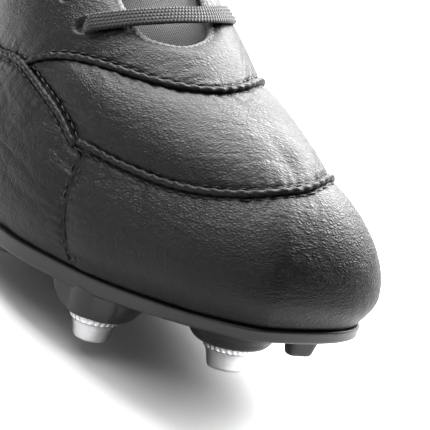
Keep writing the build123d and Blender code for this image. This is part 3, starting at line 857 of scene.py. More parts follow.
def horseshoe(u, v, corners, front, edge_share, rear_s):
    """Grid between the throat (v 1) and a panel's outer edge: both sides from rear_s to the corners,
    then the front line from the outer corner to the inner one."""
    along = np.clip(u / THROAT_SHARE, 0, 1)
    back = np.clip((1 - u) / THROAT_SHARE, 0, 1)
    middle = np.clip((u - THROAT_SHARE) / (1 - 2 * THROAT_SHARE), 0, 1) * 2 - 1
    outer = u < THROAT_SHARE
    inner = u > 1 - THROAT_SHARE
    edge_s = np.where(outer, between(rear_s, corners[0], along),
                      np.where(inner, between(rear_s, corners[1], back), front(middle)))
    edge_w = np.where(outer, -1.0, np.where(inner, 1.0, middle)) * edge_share(edge_s)
    throat_s, throat_w = throat_edge(u)
    return arch_to_lasted(between(edge_s, throat_s, v), between(edge_w, throat_w, v))


def instep_face(u, v):
    """u runs round the throat from the outer eyestay's rear end, v from the panel's edge to the throat."""
    corners = rear_arc_s(np.array([-1.0, 1.0]))
    return horseshoe(u, v, corners, rear_arc_s, lambda s: 1 - side_seam(1 - s), ANKLE_S)


def forefoot_creases(spread):
    return soft_creases(spread, 0.20, 13.0, 2.7, 3) + soft_creases(spread, 0.12, 5.0, 1.4, 6)


def toe_creases(spread):
    near_seam = np.exp(-spread.from_edge["v1"] / 16)
    return soft_creases(spread, 0.10, 9.0, 2.2, 11) * (0.5 + near_seam)


def quarter_creases(spread):
    flex = smoothstep((spread.along_u - 70) / 40)
    long_creases = soft_creases(spread, 0.60, 15.0, 3.4, 21, 0.10)
    return flex * (long_creases + soft_creases(spread, 0.34, 7.0, 1.8, 24, 0.16))


# x, lean and depth of the creases beside the lowest outer eyelet
FLEX_CREASES = [(192.0, 0.50, 2.4), (194.4, 0.47, 1.7), (196.6, 0.45, 1.3), (199.2, 0.43, 1.0)]


def instep_creases(spread):
    """Fine cross creases in front of the lowest eyelet, and the punched eyelets."""
    p = spread.points
    lift = eyelet_relief(p)
    outer = smoothstep((-p[..., 1] - 14) / 5) * smoothstep((33 + p[..., 1]) / 6)
    for x, lean, depth in FLEX_CREASES:
        line = p[..., 0] - x - lean * (p[..., 1] + 24) * 0.25 - 0.5 * noise(p[..., 1] / 5, p[..., 2] / 5, 41)
        lift -= 0.17 * depth * outer * np.exp(-((line / 0.55) ** 2))
    return lift + soft_creases(spread, 0.12, 8.0, 2.2, 31)


def build_panels():
    near, far = SEEN_STEP, PLAIN_STEP
    leather_panel("toe_panel", toe_face, round(185 / near), round(52 / near),
                  {"v0": "feather", "v1": "rib", "u0": "row", "u1": "row"}, 1.5, 1, toe_creases)
    leather_panel("forefoot_panel", forefoot_face, round(104 / near), round(48 / near),
                  {"v0": "rib", "v1": "rib", "u0": "rib", "u1": "rib"}, 2.9, 2, forefoot_creases)
    leather_panel("instep_panel", instep_face, round(235 / near), round(44 / near),
                  {"v0": "rib", "u0": "row", "u1": "row", "v1": "turned"}, 1.5, 3, instep_creases)
    for name, side, step, layer in (("outer", -1, near, 4), ("inner", 1, far, 5)):
        leather_panel(f"quarter_{name}", quarter_face(side), round(170 / step), round(40 / step),
                      {"v0": "feather", "v1": "rib", "u0": "row", "u1": "row"}, 1.1, layer, quarter_creases)
        leather_panel(f"ankle_panel_{name}", ankle_face(side), round(68 / far), round(62 / far),
                      {"v0": "rib", "v1": "hem", "u0": "row", "u1": "row"}, 0.8, layer + 4)
    leather_panel("heel_cover", heel_face, round(150 / far), round(80 / far),
                  {"v0": "feather", "v1": "hem", "u0": "row", "u1": "row"}, 0.6, 10)


# ---- seams: raised rolls and stitches ---------------------------------------------
ROLL_HALF = 1.08
ROLL_HEIGHT = 1.25
ROLL_UNDER = 0.8


class Line3:
    """A line on the last with its normals, evenly spaced by arc length."""

    def __init__(self, a, tau, step=0.42):
        raw = lasted(a, tau)
        lengths = run_lengths(raw)
        self.length = lengths[-1]
        self.t = np.linspace(0, self.length, max(int(self.length / step), 8))
        self.points = self.even(lengths, raw)
        self.normals = unit(self.even(lengths, face_normal(a, tau)))
        self.across = unit(np.cross(self.normals, unit(np.gradient(self.points, axis=0))))

    def even(self, lengths, values):
        return np.stack([np.interp(self.t, lengths, values[:, k]) for k in range(3)], -1)

    def at(self, t, offset, lift):
        """Points at distances t along, beside and over the line."""
        t = np.asarray(t, float)

        def pick(values):
            return np.stack([np.interp(t, self.t, values[:, k]) for k in range(3)], -1)

        return (pick(self.points) + unit(pick(self.across)) * np.asarray(offset)[..., None]
                + unit(pick(self.normals)) * np.asarray(lift)[..., None])


def seam_lines():
    u = np.linspace(0, 1, 400)
    y_front = between(*FRONT_ARC_Y, u)
    y_rear = between(*REAR_ARC_Y, u)
    lines = {
        "front": Line3(*locate(arc_x(FRONT_ARC, y_front), y_front)),
        "rear": Line3(*locate(arc_x(REAR_ARC, y_rear), y_rear)),
    }
    s = between(ROW_TOP_S - 0.012, HEEL_S + 0.004, u)
    for name, side in (("outer", -1), ("inner", 1)):
        lines[name] = Line3(side * (1 - s), side_seam(1 - s))
    return lines


def flat_lines():
    v = np.linspace(0.02, 0.97, 200)
    lines = {}
    for name, side in (("outer", -1), ("inner", 1)):
        row = between(ROW_FOOT_S, ROW_TOP_S, v)
        a = side * (1 - row)
        lines[f"row_{name}"] = Line3(a, side_seam(a) * v)
        up = side * (1 - np.full(200, ANKLE_S))
        lines[f"ankle_{name}"] = Line3(up, between(side_seam(up), collar_edge(up), v))
        back = side * (1 - np.full(200, HEEL_S))
        lines[f"heel_{name}"] = Line3(back, collar_edge(back) * v)
    return lines


def seam_roll(name, line, ends=3.0):
    """Leather rolled over a seam, pinched by every stitch so that it looks twisted."""
    around = full_turn(18)
    shift = np.cos(around)
    rise = np.sin(around)
    rise = np.where(rise > 0, np.maximum(rise, 0) ** 0.8 * ROLL_HEIGHT, rise * ROLL_UNDER)
    t = line.t[:, None]
    fade = np.sqrt(smoothstep(np.minimum(line.t, line.length - line.t) / ends))[:, None]
    phase = 2 * math.pi * t / STITCH_PITCH + 1.35 * shift[None]
    pinch = 1 + 0.15 * np.sin(phase) + 0.06 * noise(t / 2.3, shift[None] * 2, 51)
    width = ROLL_HALF * (1 + 0.12 * np.sin(phase + 0.6))
    lift = rise[None] * pinch * between(0.35, 1.0, fade) + 0.12 - 0.4 * (1 - fade)
    sections = line.at(np.repeat(t, len(around), 1), shift[None] * width, lift)
    new_piece(f"{name}_roll", *loop_tube(sections), PIPING, slot="piping_leather", stands_for=[name])


def stitches(line, offset, pitch, length, radius, lift, start=1.5, skew=0.0):
    """Points and faces of a row of short thread bars whose ends dive into the leather."""
    first = np.arange(start, line.length - 1.5 - length, pitch)
    q = np.linspace(0, 1, 8)
    along = first[:, None] + q[None] * length
    bow = lift + radius * 0.9 * np.sin(math.pi * q) ** 0.6 - radius * 1.1
    side = np.broadcast_to(offset + skew * (q - 0.5), along.shape)
    spine = line.at(along, side, np.broadcast_to(bow, along.shape))
    tangent = unit(np.gradient(spine, axis=1))
    up = line.at(along, side, np.broadcast_to(bow + 1, along.shape)) - spine
    sideways = unit(np.cross(tangent, up))
    up = unit(np.cross(sideways, tangent))
    thick = radius * np.maximum(np.sin(math.pi * np.clip(q, 0.03, 0.97)) ** 0.35, 0.3)
    angle = full_turn(7)
    parts = []
    cosine, sine = np.cos(angle)[:, None], np.sin(angle)[:, None]
    for k in range(len(first)):
        ring = sideways[k][:, None] * cosine + up[k][:, None] * sine
        parts.append(loop_tube(spine[k][:, None] + ring * thick[:, None, None]))
    return parts


def build_seams():
    rolls = seam_lines()
    thread = []
    for name, line in rolls.items():
        seam_roll(f"seam_rib_{name}", line)
        for side in (-1, 1):
            thread += stitches(line, side * STITCH_OFFSET, STITCH_PITCH, 2.75, 0.30, 0.02,
                               start=1.2 + (side > 0) * STITCH_PITCH / 2, skew=0.25 * side)
    for name, line in flat_lines().items():
        for side in (-1, 1):
            thread += stitches(line, side * ROW_OFFSET, ROW_PITCH, 1.7, 0.30, 0.06,
                               start=1.0 + (side > 0) * 0.7)
    new_piece("upper_stitching", *joined(thread), THREAD, slot="black_lace")


# ---- inside of the upper -----------------------------------------------------------
LINING_SHARE = 0.86
LINING_FRONT_S = 0.700
LINING_DEPTH = (1.75, 2.5)
COLLAR_FRONT_S = 0.415
BINDING_R = 1.0
TONGUE_X = (211.0, 92.0)
TONGUE_DEPTH = 3.8
TONGUE_THICK = 4.5
TONGUE_SPAN = 110           # mm over the foot for each unit of its share
TONGUE_CHANNEL = 15         # width of one quilted channel
# section of the collar's roll: depth under the last, drop below the leather's edge
COLLAR_ROLL = [(1.55, 4.0), (1.35, 0.6), (1.9, -1.4), (3.6, -2.3), (5.6, -1.2), (6.9, 2.2), (7.2, 8.0),
               (7.0, 15.0), (6.0, 21.0), (4.2, 25.6), (2.6, 26.4), (1.7, 22.0), (1.6, 12.0)]


def closed_curve(points, count):
    p = np.array(points, float)
    ring = spline(np.vstack([p[-3:], p, p[:3]]), 40 * len(p))
    lengths = run_lengths(ring)
    start = int(np.argmin(np.linalg.norm(ring[:200] - p[0], axis=1)))
    stop = len(ring) - 1 - int(np.argmin(np.linalg.norm(ring[::-1][:200] - p[0], axis=1)))
    want = np.linspace(lengths[start], lengths[stop], count, endpoint=False)
    return np.stack([np.interp(want, lengths, ring[:, k]) for k in (0, 1)], -1)


def collar_sweep():
    return wrap(between(-(1 - COLLAR_FRONT_S), -(1 + COLLAR_FRONT_S), np.linspace(0, 1, 240)))


def build_collar():
    a = collar_sweep()[:, None]
    section = closed_curve(COLLAR_ROLL, 56)
    depth = np.broadcast_to(section[None, :, 0], (len(a), len(section)))
    tau = collar_edge(a, section[None, :, 1])
    ends = np.minimum(np.arange(len(a)), np.arange(len(a))[::-1])[:, None] / 8.0
    depth = 1.6 + (depth - 1.6) * between(0.25, 1.0, np.sqrt(smoothstep(ends)))
    sections = lasted(a, tau) - face_normal(a, tau) * depth[..., None]
    sections += face_normal(a, tau) * (0.25 * noise(a * 30, section[None, :, 1] / 9, 61))[..., None]
    run = run_lengths(lasted(a[:, 0], collar_edge(a[:, 0])))
    around = np.linspace(0, 70, len(section))
    uvs = np.stack([np.tile(run, len(section)), np.repeat(around, len(a))], -1)
    pad = new_piece("collar_pad", *loop_tube(sections), LINING, uvs=uvs, slot="lining_textile",
                    stands_for=["collar_lining"])


def textile_shell(name, a, tau, depths, material, slot, stands_for=()):
    """Shell between two depths under the last, with its spans in mm as uv."""
    points = lasted(a, tau)
    normals = face_normal(a, tau)
    ripple = 0.15 * noise(points[..., 0] / 9, points[..., 2] / 9, 63)[..., None]
    outer, inner = (points - normals * (depth - ripple) for depth in depths)
    uvs = np.tile(np.stack([run.ravel() for run in grid_runs(points)], -1), (2, 1))
    new_piece(name, *shell(outer, inner, normals), material, uvs=uvs, slot=slot, stands_for=stands_for)


def build_linings():
    u, v = np.meshgrid(np.linspace(0, 1, 150), np.linspace(0, 0.97, 34), indexing="ij")
    a, tau = horseshoe(u, v, (LINING_FRONT_S, LINING_FRONT_S), lambda m: np.full(np.shape(m), LINING_FRONT_S),
                       lambda s: LINING_SHARE, ANKLE_S)
    textile_shell("vamp_lining_knit", a, tau, LINING_DEPTH, LINING, "lining_textile", ["vamp_lining"])
    u, v = np.meshgrid(np.linspace(0, 1, 160), np.linspace(0, 1, 30), indexing="ij")
    a = wrap(between(-(1 - ANKLE_S - 0.02), -(1 + ANKLE_S + 0.02), u))
    textile_shell("quarter_lining_knit", a, between(0.03, collar_edge(a, 18.0), v), (3.15, 3.8), LINING,
                  "lining_textile")


def build_toe_puff():
    u, v = np.meshgrid(np.linspace(0, 1, 120), np.linspace(0.04, 0.62, 40), indexing="ij")
    a = between(-(1 - PUFF_S), 1 - PUFF_S, u)
    textile_shell("toe_puff_board", a, v, LINING_DEPTH, BOARD, "stiffener_board", ["toe_puff"])


def build_tongue():
    q = np.linspace(0, 1, 90)
    theta = full_turn(72)
    s = between(outline_s(TONGUE_X[0]), outline_s(TONGUE_X[1]), q)
    half = between(0.50, 0.34, q) * np.minimum(1, 0.35 + 0.65 * np.sqrt(smoothstep((1 - q) / 0.10)))
    plump = np.clip(1 - (2 * q - 1) ** 10, 0.02, 1) ** 0.5
    x = np.sign(np.cos(theta)) * np.abs(np.cos(theta)) ** 0.75
    z = np.sign(np.sin(theta)) * np.abs(np.sin(theta)) ** 0.55
    w = half[:, None] * x[None]
    channel = 0.35 * np.abs(np.sin(math.pi * w * TONGUE_SPAN / TONGUE_CHANNEL)) ** 0.5 - 0.3
    depth = TONGUE_DEPTH + TONGUE_THICK / 2 - (TONGUE_THICK / 2 - 0.1) * plump[:, None] * z[None]
    depth = depth - np.where(z[None] > 0, channel, 0) * plump[:, None]
    a, tau = arch_to_lasted(np.broadcast_to(s[:, None], w.shape), w)
    surface = lasted(a, tau)
    sections = surface - face_normal(a, tau) * depth[..., None]
    uvs = np.stack([np.tile(run_lengths(surface[:, 0]), len(theta)), (w.T * TONGUE_SPAN).ravel()], -1)
    tongue = new_piece("tongue_pad", *loop_tube(sections), TONGUE_KNIT, body="tongue", uvs=uvs,
                       slot="tongue_textile", stands_for=["tongue"])


def build_binding():
    """Knitted tape folded over the throat's edge, with its stitches."""
    s, w = throat_edge(np.linspace(0, 1, 700))
    line = Line3(*arch_to_lasted(s, w), step=0.5)
    theta = full_turn(16)
    bead = 0.9 + 0.28 * np.abs(np.sin(line.t * math.pi / 2.0)) + 0.06 * noise(line.t / 2.5, 0 * line.t, 71)
    bead = bead[:, None]
    across = 1.2 * BINDING_R * np.cos(theta)[None] * bead
    lift = -0.45 + BINDING_R * np.sin(theta)[None] * bead
    sections = line.at(np.repeat(line.t[:, None], 16, 1), across, lift)
    uvs = np.stack([np.tile(line.t, 16), np.repeat(np.arange(16) * 0.5, len(line.t))], -1)
    new_piece("throat_binding", *loop_tube(sections), BINDING_KNIT, uvs=uvs, slot="lining_textile")
    edge = collar_sweep()
    rim = Line3(edge, collar_edge(edge, HEM_OFFSET))
    new_piece("edge_stitching", *joined(stitches(rim, 0.0, 3.3, 2.2, 0.26, 0.28)), THREAD, slot="black_lace")


# ---- sole ---------------------------------------------------------------------------
SPINE_X = (42.0, 240.0)
PLATE_FLOOR = 2.6
RIM_WALL = 2.75
RIM_THINNING = 1.7          # taken off the plate's underside by the toe
DOME_R = (11.4, 16.8)       # each boss's foot on the plate, from full height to none
# inset from the sole's edge, height over the plate's underside
RIM_PROFILE = [(2.6, 3.4), (2.55, 5.4), (2.2, 5.9), (1.5, 6.0), (0.75, 5.98), (0.3, 5.8), (0.06, 5.4),
               (0.0, 4.6), (0.06, 3.4), (0.06, 2.2), (0.0, 1.5), (0.08, 1.0), (0.3, 0.55), (0.7, 0.2),
               (1.2, 0.04)]
WELD = 1e-6


def welded(piece):
    """Merges the points that meet where a ring closes on the spine."""
    work = bmesh.new()
    work.from_mesh(piece.data)
    bmesh.ops.remove_doubles(work, verts=work.verts, dist=WELD)
    bmesh.ops.recalc_face_normals(work, faces=work.faces)
    work.to_mesh(piece.data)
    work.free()
    return piece


def plan_rays(count):
    """Outline points of the sole with the unit step towards the spine and its length."""
    a = np.linspace(-1, 1, count, endpoint=False)
    s = 1 - np.abs(a)
    x = outline_x(s)
    edge = np.stack([x, outline_y(np.where(a < 0, -1, 1), s)], -1)
    sx = np.clip(x, *SPINE_X)
    ss = outline_s(sx)
    spine = np.stack([sx, (outline_y(-1, ss) + outline_y(1, ss)) / 2], -1)
    reach = np.linalg.norm(spine - edge, axis=-1)
    return edge, (spine - edge) / reach[:, None], reach


def stud_frame(x, y):
    """Origin on the plate's underside and the axis pointing to the ground."""
    if x < TOE_SPRING_START:
        return np.array([x, y, HEEL_LEVEL if x < SOLE_LENGTH / 3 else 0.0]), np.array([0.0, 0.0, -1.0])
    slope = float(smooth(ROCKER, x + 1) - smooth(ROCKER, x - 1)) / 2
    return np.array([x, y, float(smooth(ROCKER, x))]), unit(np.array([slope, 0.0, -1.0]))


def plan_row(rays, inset, height):
    """Points at an inset from the sole's edge and a height over the plate's underside."""
    edge, inward, reach = rays
    p = edge + inward * np.broadcast_to(inset, reach.shape)[:, None]
    return np.column_stack([p, smooth(ROCKER, p[:, 0]) + height])


def sole_level(x):
    """Underside of the plate, whose edge thins towards the toe."""
    return smooth(ROCKER, x) + RIM_THINNING * smoothstep((x - 228) / 55)


def underside(x, y, inset):
    """Height of the plate's underside with the stud bosses."""
    z = sole_level(x)
    for sx, sy, _ in STUDS.values():
        origin, axis = stud_frame(sx, sy)
        tilt = -axis[0] / axis[2]
        seat = origin[2] + tilt * (x - sx) + (BOSS_HEIGHT - 0.06) / axis[2]
        r = np.hypot(x - sx - axis[0] * BOSS_HEIGHT, y - sy)
        dome = 1 - smoothstep((r - DOME_R[0]) / (DOME_R[1] - DOME_R[0]))
        dome = dome * smoothstep((inset - 0.9) / 2.4)
        z = z * (1 - dome) + np.minimum(seat, z) * dome
    return z


def build_sole():
    rays = edge, inward, reach = plan_rays(620)
    rows = [plan_row(rays, between(RIM_WALL, reach, t), PLATE_FLOOR) for t in np.linspace(1, 0, 9)]
    for inset, height in RIM_PROFILE:
        row = plan_row(rays, inset, RIM_HEIGHT)
        row[:, 2] -= (row[:, 2] - sole_level(row[:, 0])) * (1 - height / RIM_HEIGHT)
        rows.append(row)
    near = [1.5, 1.8, 2.1, 2.4, 2.7, 3.0, 3.4, 3.9, 4.5, 5.2, 6.0, 6.9, 7.9]
    insets = [np.minimum(inset, reach) for inset in near]
    insets += [between(near[-1], reach, t) for t in np.linspace(0, 1, 34)[1:]]
    for inset in insets:
        p = edge + inward * inset[:, None]
        rows.append(np.column_stack([p, underside(p[:, 0], p[:, 1], inset)]))
    welded(new_piece("sole_plate", *loop_tube(np.stack(rows), caps=False), MOULDED, slot="moulded_sole",
                     stands_for=["soleplate"]))


def build_toe_blade():
    origin, axis = stud_frame(*TOE_STUD)
    across = np.array([0.0, 1.0, 0.0])
    fore = unit(np.cross(across, axis))
    fore = fore if fore[0] > 0 else -fore
    theta = full_turn(48)
    square = [np.sign(f(theta)) * np.abs(f(theta)) ** 0.42 for f in (np.cos, np.sin)]
    sections = []
    for h, grow in ((-0.6, 0.25), (0.0, 0.1), (0.5, 0.0), (2.0, 0.0), (3.4, 0.0), (4.1, -0.12), (4.5, -0.42),
                    (4.7, -0.95)):
        wide = 4.45 - 0.16 * h + grow
        deep = 3.4 - 0.30 * h + grow
        centre = origin + axis * h - fore * 0.14 * h
        sections.append(centre + across * (square[0] * wide)[:, None] + fore * (square[1] * deep)[:, None])
    new_piece("toe_blade", *loop_tube(np.stack(sections)), MOULDED, slot="moulded_sole",
              stands_for=["toe_stud"])


# ---- studs ----------------------------------------------------------------------------
TEETH = 26
# height over the seat, radius, depth of the serration
STUD_TOP = [(0.0, 8.3, 0.0), (0.12, 8.6, 0.05), (0.35, 8.74, 0.34), (1.95, 8.74, 0.34), (2.25, 8.55, 0.12),
            (2.38, 8.1, 0.0), (2.5, 7.86, 0.0), (2.62, 7.8, 0.26), (3.65, 7.74, 0.26), (3.85, 7.55, 0.06),
            (4.05, 7.2, 0.0)]
FLANGE_ROOM = 9.2           # radius that each bowl leaves free for the stud's flange
BOWL_R = 14.9
# height below the boss's end face, radius
BOSS_BOWL = [(-0.8, FLANGE_ROOM), (1.1, FLANGE_ROOM), (1.65, 9.6), (1.8, 10.2), (1.4, 11.0), (0.4, 12.0),
             (-1.2, 13.1), (-3.2, 14.1), (-5.2, 14.7), (-6.6, BOWL_R), (-6.6, 12.0), (-3.6, 10.2)]


def stud_frames():
    """Name, ground height, origin, axis and two unit vectors across the axis of each stud."""
    for name, (x, y, height) in STUDS.items():
        origin, axis = stud_frame(x, y)
        side = np.array([0.0, 1.0, 0.0])
        yield name, height, origin, axis, side, np.cross(side, axis)


def build_boss_bowls():
    """Deep rounded boss round each stud's flange, kept inside the sole's edge."""
    theta = full_turn(120)
    edge = plan_rays(620)[0]
    for name, _, origin, axis, side, fore in stud_frames():
        ring = circle(side, fore, theta)
        out = edge - origin[:2]
        room = np.interp(np.arctan2(ring[:, 1], ring[:, 0]), np.arctan2(out[:, 1], out[:, 0]),
                         np.linalg.norm(out, axis=-1), period=2 * math.pi)
        spread = np.clip((room - 0.9 - FLANGE_ROOM) / (BOWL_R - FLANGE_ROOM), 0.05, 1)[:, None]
        sections = [origin + axis * (BOSS_HEIGHT + h) + ring * (FLANGE_ROOM + (r - FLANGE_ROOM) * spread)
                    for h, r in closed_curve(BOSS_BOWL, 56)]
        new_piece(f"boss_bowl_{name}", *loop_tube(np.stack(sections + sections[:1]), caps=False), MOULDED,
                  slot="moulded_sole")


def build_studs():
    theta = full_turn(TEETH * 8)
    tooth = np.clip(np.abs(((theta * TEETH / (2 * math.pi)) % 1) - 0.5) * 4 - 0.5, 0, 1)
    for number, (name, height, origin, axis, side, fore) in enumerate(stud_frames()):
        seat = origin + axis * (BOSS_HEIGHT + 0.05)
        cone = [(4.6, 6.95, 0), (height * 0.62, 6.35, 0), (height - 1.1, 5.75, 0), (height - 0.55, 5.6, 0),
                (height - 0.18, 5.3, 0), (height - 0.02, 4.8, 0), (height, 2.4, 0)]
        sections = []
        for h, radius, depth in STUD_TOP + cone:
            r = radius - depth * tooth + 0.035 * noise(theta * 3, theta * 0 + h, 81 + number)
            sections.append(seat + axis * h + circle(side, fore, theta, r))
        new_piece(f"stud_{name}_turned", *loop_tube(np.stack(sections)), ALUMINIUM, body=f"cone_{name}",
                  slot="stud_aluminium", stands_for=[f"stud_cone_{name}"])


# ---- board and sock liner ---------------------------------------------------------------
BOARD_INSET = 3.1
LINER_INSET = 5.9


def build_insole_board():
    rays = plan_rays(300)
    rows = []
    for level, steps in ((2.55, np.linspace(1, 0, 12)), (0.15, np.linspace(0, 1, 12))):
        rows += [plan_row(rays, between(BOARD_INSET, rays[2], t), PLATE_FLOOR + level) for t in steps]
    welded(new_piece("lasting_board", *loop_tube(np.stack(rows), caps=False), BOARD, slot="stiffener_board",
                     stands_for=["insole_board"]))


def build_insole():
    rays = plan_rays(360)
    reach = rays[2]
    rows = []
    for t in np.linspace(1, 0, 14):
        inset = between(LINER_INSET, reach, t)
        rim = 1 - smoothstep((inset - LINER_INSET) / 9)
        rows.append(plan_row(rays, inset, PLATE_FLOOR + 5.0 + 1.6 * rim))
    for inset, height in ((5.75, 6.3), (5.75, 5.6), (LINER_INSET, 3.6), (6.4, 2.9), (reach, 2.8)):
        rows.append(plan_row(rays, inset, PLATE_FLOOR + height))
    points, faces = loop_tube(np.stack(rows)[::-1], caps=False)
    pad = new_piece("sockliner_foam", points, faces, INSOLE_KNIT, uvs=points[:, :2], slot="insole_foam",
                    stands_for=["sockliner"])
    welded(pad)


# ---- lacing ---------------------------------------------------------------------------
LACE_WIDTH = 7.0
LACE_THICK = 1.35
LACE_RIBS = 5


def lace_section(width, thick):
    """Closed section of the flat braid: rounded edges and lengthwise ribs on both faces."""
    x = np.concatenate([np.linspace(-1, 1, 31), np.linspace(1, -1, 31)[1:-1]])
    top = np.concatenate([np.ones(31), -np.ones(29)])
    body = (1 - np.abs(x) ** 6) ** 0.5
    rib = 0.34 * (np.abs(np.sin(math.pi * (x + 1) / 2 * LACE_RIBS)) ** 0.7 - 0.6)
    return x * width / 2, top * body * (thick / 2 + rib)


def ribbon(name, spine, normals, width, thick, stands_for):
    """Flat braid along a spine, with its width and thickness at each point."""
    tangent = unit(np.gradient(spine, axis=0))
    across = unit(np.cross(normals, tangent))
    up = unit(np.cross(tangent, across))
    run = run_lengths(spine)
    sections = []
    for k in range(len(spine)):
        x, z = lace_section(width[k], thick[k])
        knot = 1 + 0.10 * np.sin(2 * math.pi * run[k] / 1.15 + 9 * np.floor((x / width[k] + 0.5) * LACE_RIBS))
        sections.append(spine[k] + across[k] * x[:, None] + up[k] * (z * knot)[:, None])
    x = lace_section(LACE_WIDTH, LACE_THICK)[0]
    uvs = np.stack([np.tile(run, len(x)), np.repeat(x, len(spine))], -1)
    return new_piece(name, *loop_tube(np.stack(sections)), BRAID, uvs=uvs, slot="black_lace",
                     stands_for=stands_for)


def strap(node, x0, w0, x1, w1, profile, step=0.32, dive=(True, False), bow=0.0):
    """Lace over the instep from pull line x0 to x1, dipping into an eyelet at each end that dives."""
    q = np.linspace(0, 1, 400)
    s = outline_s(between(x0, x1, q) + bow * 4 * q * (1 - q))
    w = between(w0, w1, q)
    line = Line3(*arch_to_lasted(s, w), step=step)
    t = line.t
    lift = profile(t / line.length)
    width = np.full(len(t), LACE_WIDTH)
    thick = np.full(len(t), LACE_THICK)
    for end, dips in enumerate(dive):
        d = t if end == 0 else line.length - t
        if dips:
            sink = np.sqrt(smoothstep(d / 4.2))
            lift = -2.6 + (lift + 2.6) * sink
            width = width * between(0.72, 1.0, smoothstep(d / 4.5))
            thick = thick * between(1.9, 1.0, smoothstep(d / 9.0))
        else:
            lift = lift - 1.2 * (1 - smoothstep(d / 5.0))
    spine = line.at(t, 0 * t, lift + LACE_THICK / 2)
    ribbon(f"{node}_braid", spine, line.normals, width, thick, [node])


def crossing_profile(base, over, centre, half):
    """Lift along a strap: resting on the leather, higher where it passes over the other lace."""
    def profile(q):
        return base + over * smoothstep(1 - np.abs(q - centre) / half)

    return profile


def bar_profile(q):
    """Lift of the straight bar of lace over the throat."""
    return 0.8 + 1.5 * np.sin(math.pi * np.clip(q, 0, 1)) ** 0.55


EYELET_REACH = 0.004        # how much further out the crossings start than the eyelet row


def build_lacing():
    x, w = EYELET_X[0], EYELET_W[0]
    strap("lace_bar", x + EYELET_SKEW, -w, x - 1.9 * EYELET_SKEW, w - 0.05, bar_profile, 0.26, (True, True),
          BAR_BOW + 2.5)
    for k in range(1, len(EYELET_X) - 1):
        x, w = EYELET_X[k], EYELET_W[k] + EYELET_REACH
        stop = between(x, EYELET_X[k + 1], 0.8)
        strap(f"lace_cross_{k}_outer", x + EYELET_SKEW, -w, stop, 0.10, crossing_profile(0.5, 2.0, 0.82, 0.5))
        strap(f"lace_cross_{k}_inner", x - EYELET_SKEW, w, stop, -0.10, crossing_profile(0.5, 0.3, 0.8, 0.5))
    x, w = EYELET_X[-1], EYELET_W[-1] + EYELET_REACH
    for name, side in (("outer", -1), ("inner", 1)):
        strap(f"lace_top_{name}", x - side * EYELET_SKEW, side * w, KNOT[0], side * 0.06,
              crossing_profile(0.5, 1.0, 0.9, 0.5))


# ---- bow: free loops and ends ------------------------------------------------------------
KNOT = (117.0, -4.4, 115.5)
LOOP_OUTER = [(117, -9.6, 116), (118, -19, 113), (116.5, -25, 104.5), (117, -29.5, 93.5), (121.5, -34, 82),
              (129, -38, 72), (140, -40, 67), (150.5, -39, 70.5), (154.5, -35, 80), (150.5, -29.5, 91.5),
              (142, -24.5, 100.5), (133.5, -18.5, 107.5), (125, -13, 112.5), (121, -9.6, 115.5)]
LOOP_INNER = [(117, 0.8, 116), (118, 10, 113), (117, 15.5, 104.5), (116.5, 20, 94.5), (120.5, 24.5, 83.5),
              (127.5, 27.5, 73), (138, 29, 67.5), (149, 28, 69.5), (154, 24.5, 79), (150.5, 19.5, 90),
              (142, 14, 100), (134, 9, 107.5), (125, 4, 112.5), (121, 0.8, 115.5)]
END_OUTER = [(113, -9.6, 116), (110.5, -17.5, 113.5), (107.5, -24, 106), (108, -29.5, 95), (111, -34, 83.5)]
END_INNER = [(113, 0.8, 116), (110.5, 9.5, 113), (108.5, 16, 106), (109, 21.5, 94.5), (113, 25.5, 83)]
AGLET_LENGTH = 20.0
AGLET_R = 2.0


def route_points(name, points):
    """Points read from the smooth NURBS line of a route, in construction mm."""
    curve = bpy.data.curves.new(f"{name}_route", "CURVE")
    curve.dimensions = "3D"
    curve.resolution_u = 24
    path = curve.splines.new("NURBS")
    path.points.add(len(points) - 1)
    for knot, place in zip(path.points, placed(points)):
        knot.co = (*place, 1)
    path.order_u = 3
    path.use_endpoint_u = True
    holder = new_object(f"{name}_route", curve)
    mesh = bpy.data.meshes.new_from_object(holder)
    read = np.array([v.co for v in mesh.vertices], float) / MM - ORIGIN
    bpy.data.objects.remove(holder)
    bpy.data.meshes.remove(mesh)
    return resampled(read, int(run_lengths(read)[-1] / 0.42))


def free_lace(name, points, node, taper=False):
    """One free loop or end of the bow; a tapered one narrows into its aglet."""
    spine = route_points(name, points)
    outward = unit(np.column_stack([0 * spine[:, 0], spine[:, 1] - KNOT[1], (spine[:, 2] - 52) * 0.55]))
    t = run_lengths(spine)
    ease = smoothstep(np.minimum(t, t[-1] - t if not taper else t + 9) / 9)
    width = LACE_WIDTH * between(0.62, 1.0, ease)
    thick = LACE_THICK * between(1.5, 1.0, ease)
    if taper:
        pinch = smoothstep((t[-1] - t) / 7)
        width = between(3.0, LACE_WIDTH, pinch) * between(0.62, 1.0, smoothstep(t / 9))
        thick = between(2.6, LACE_THICK, pinch) * between(1.5, 1.0, smoothstep(t / 9))
    piece = ribbon(name, spine, outward, width, thick, [node])


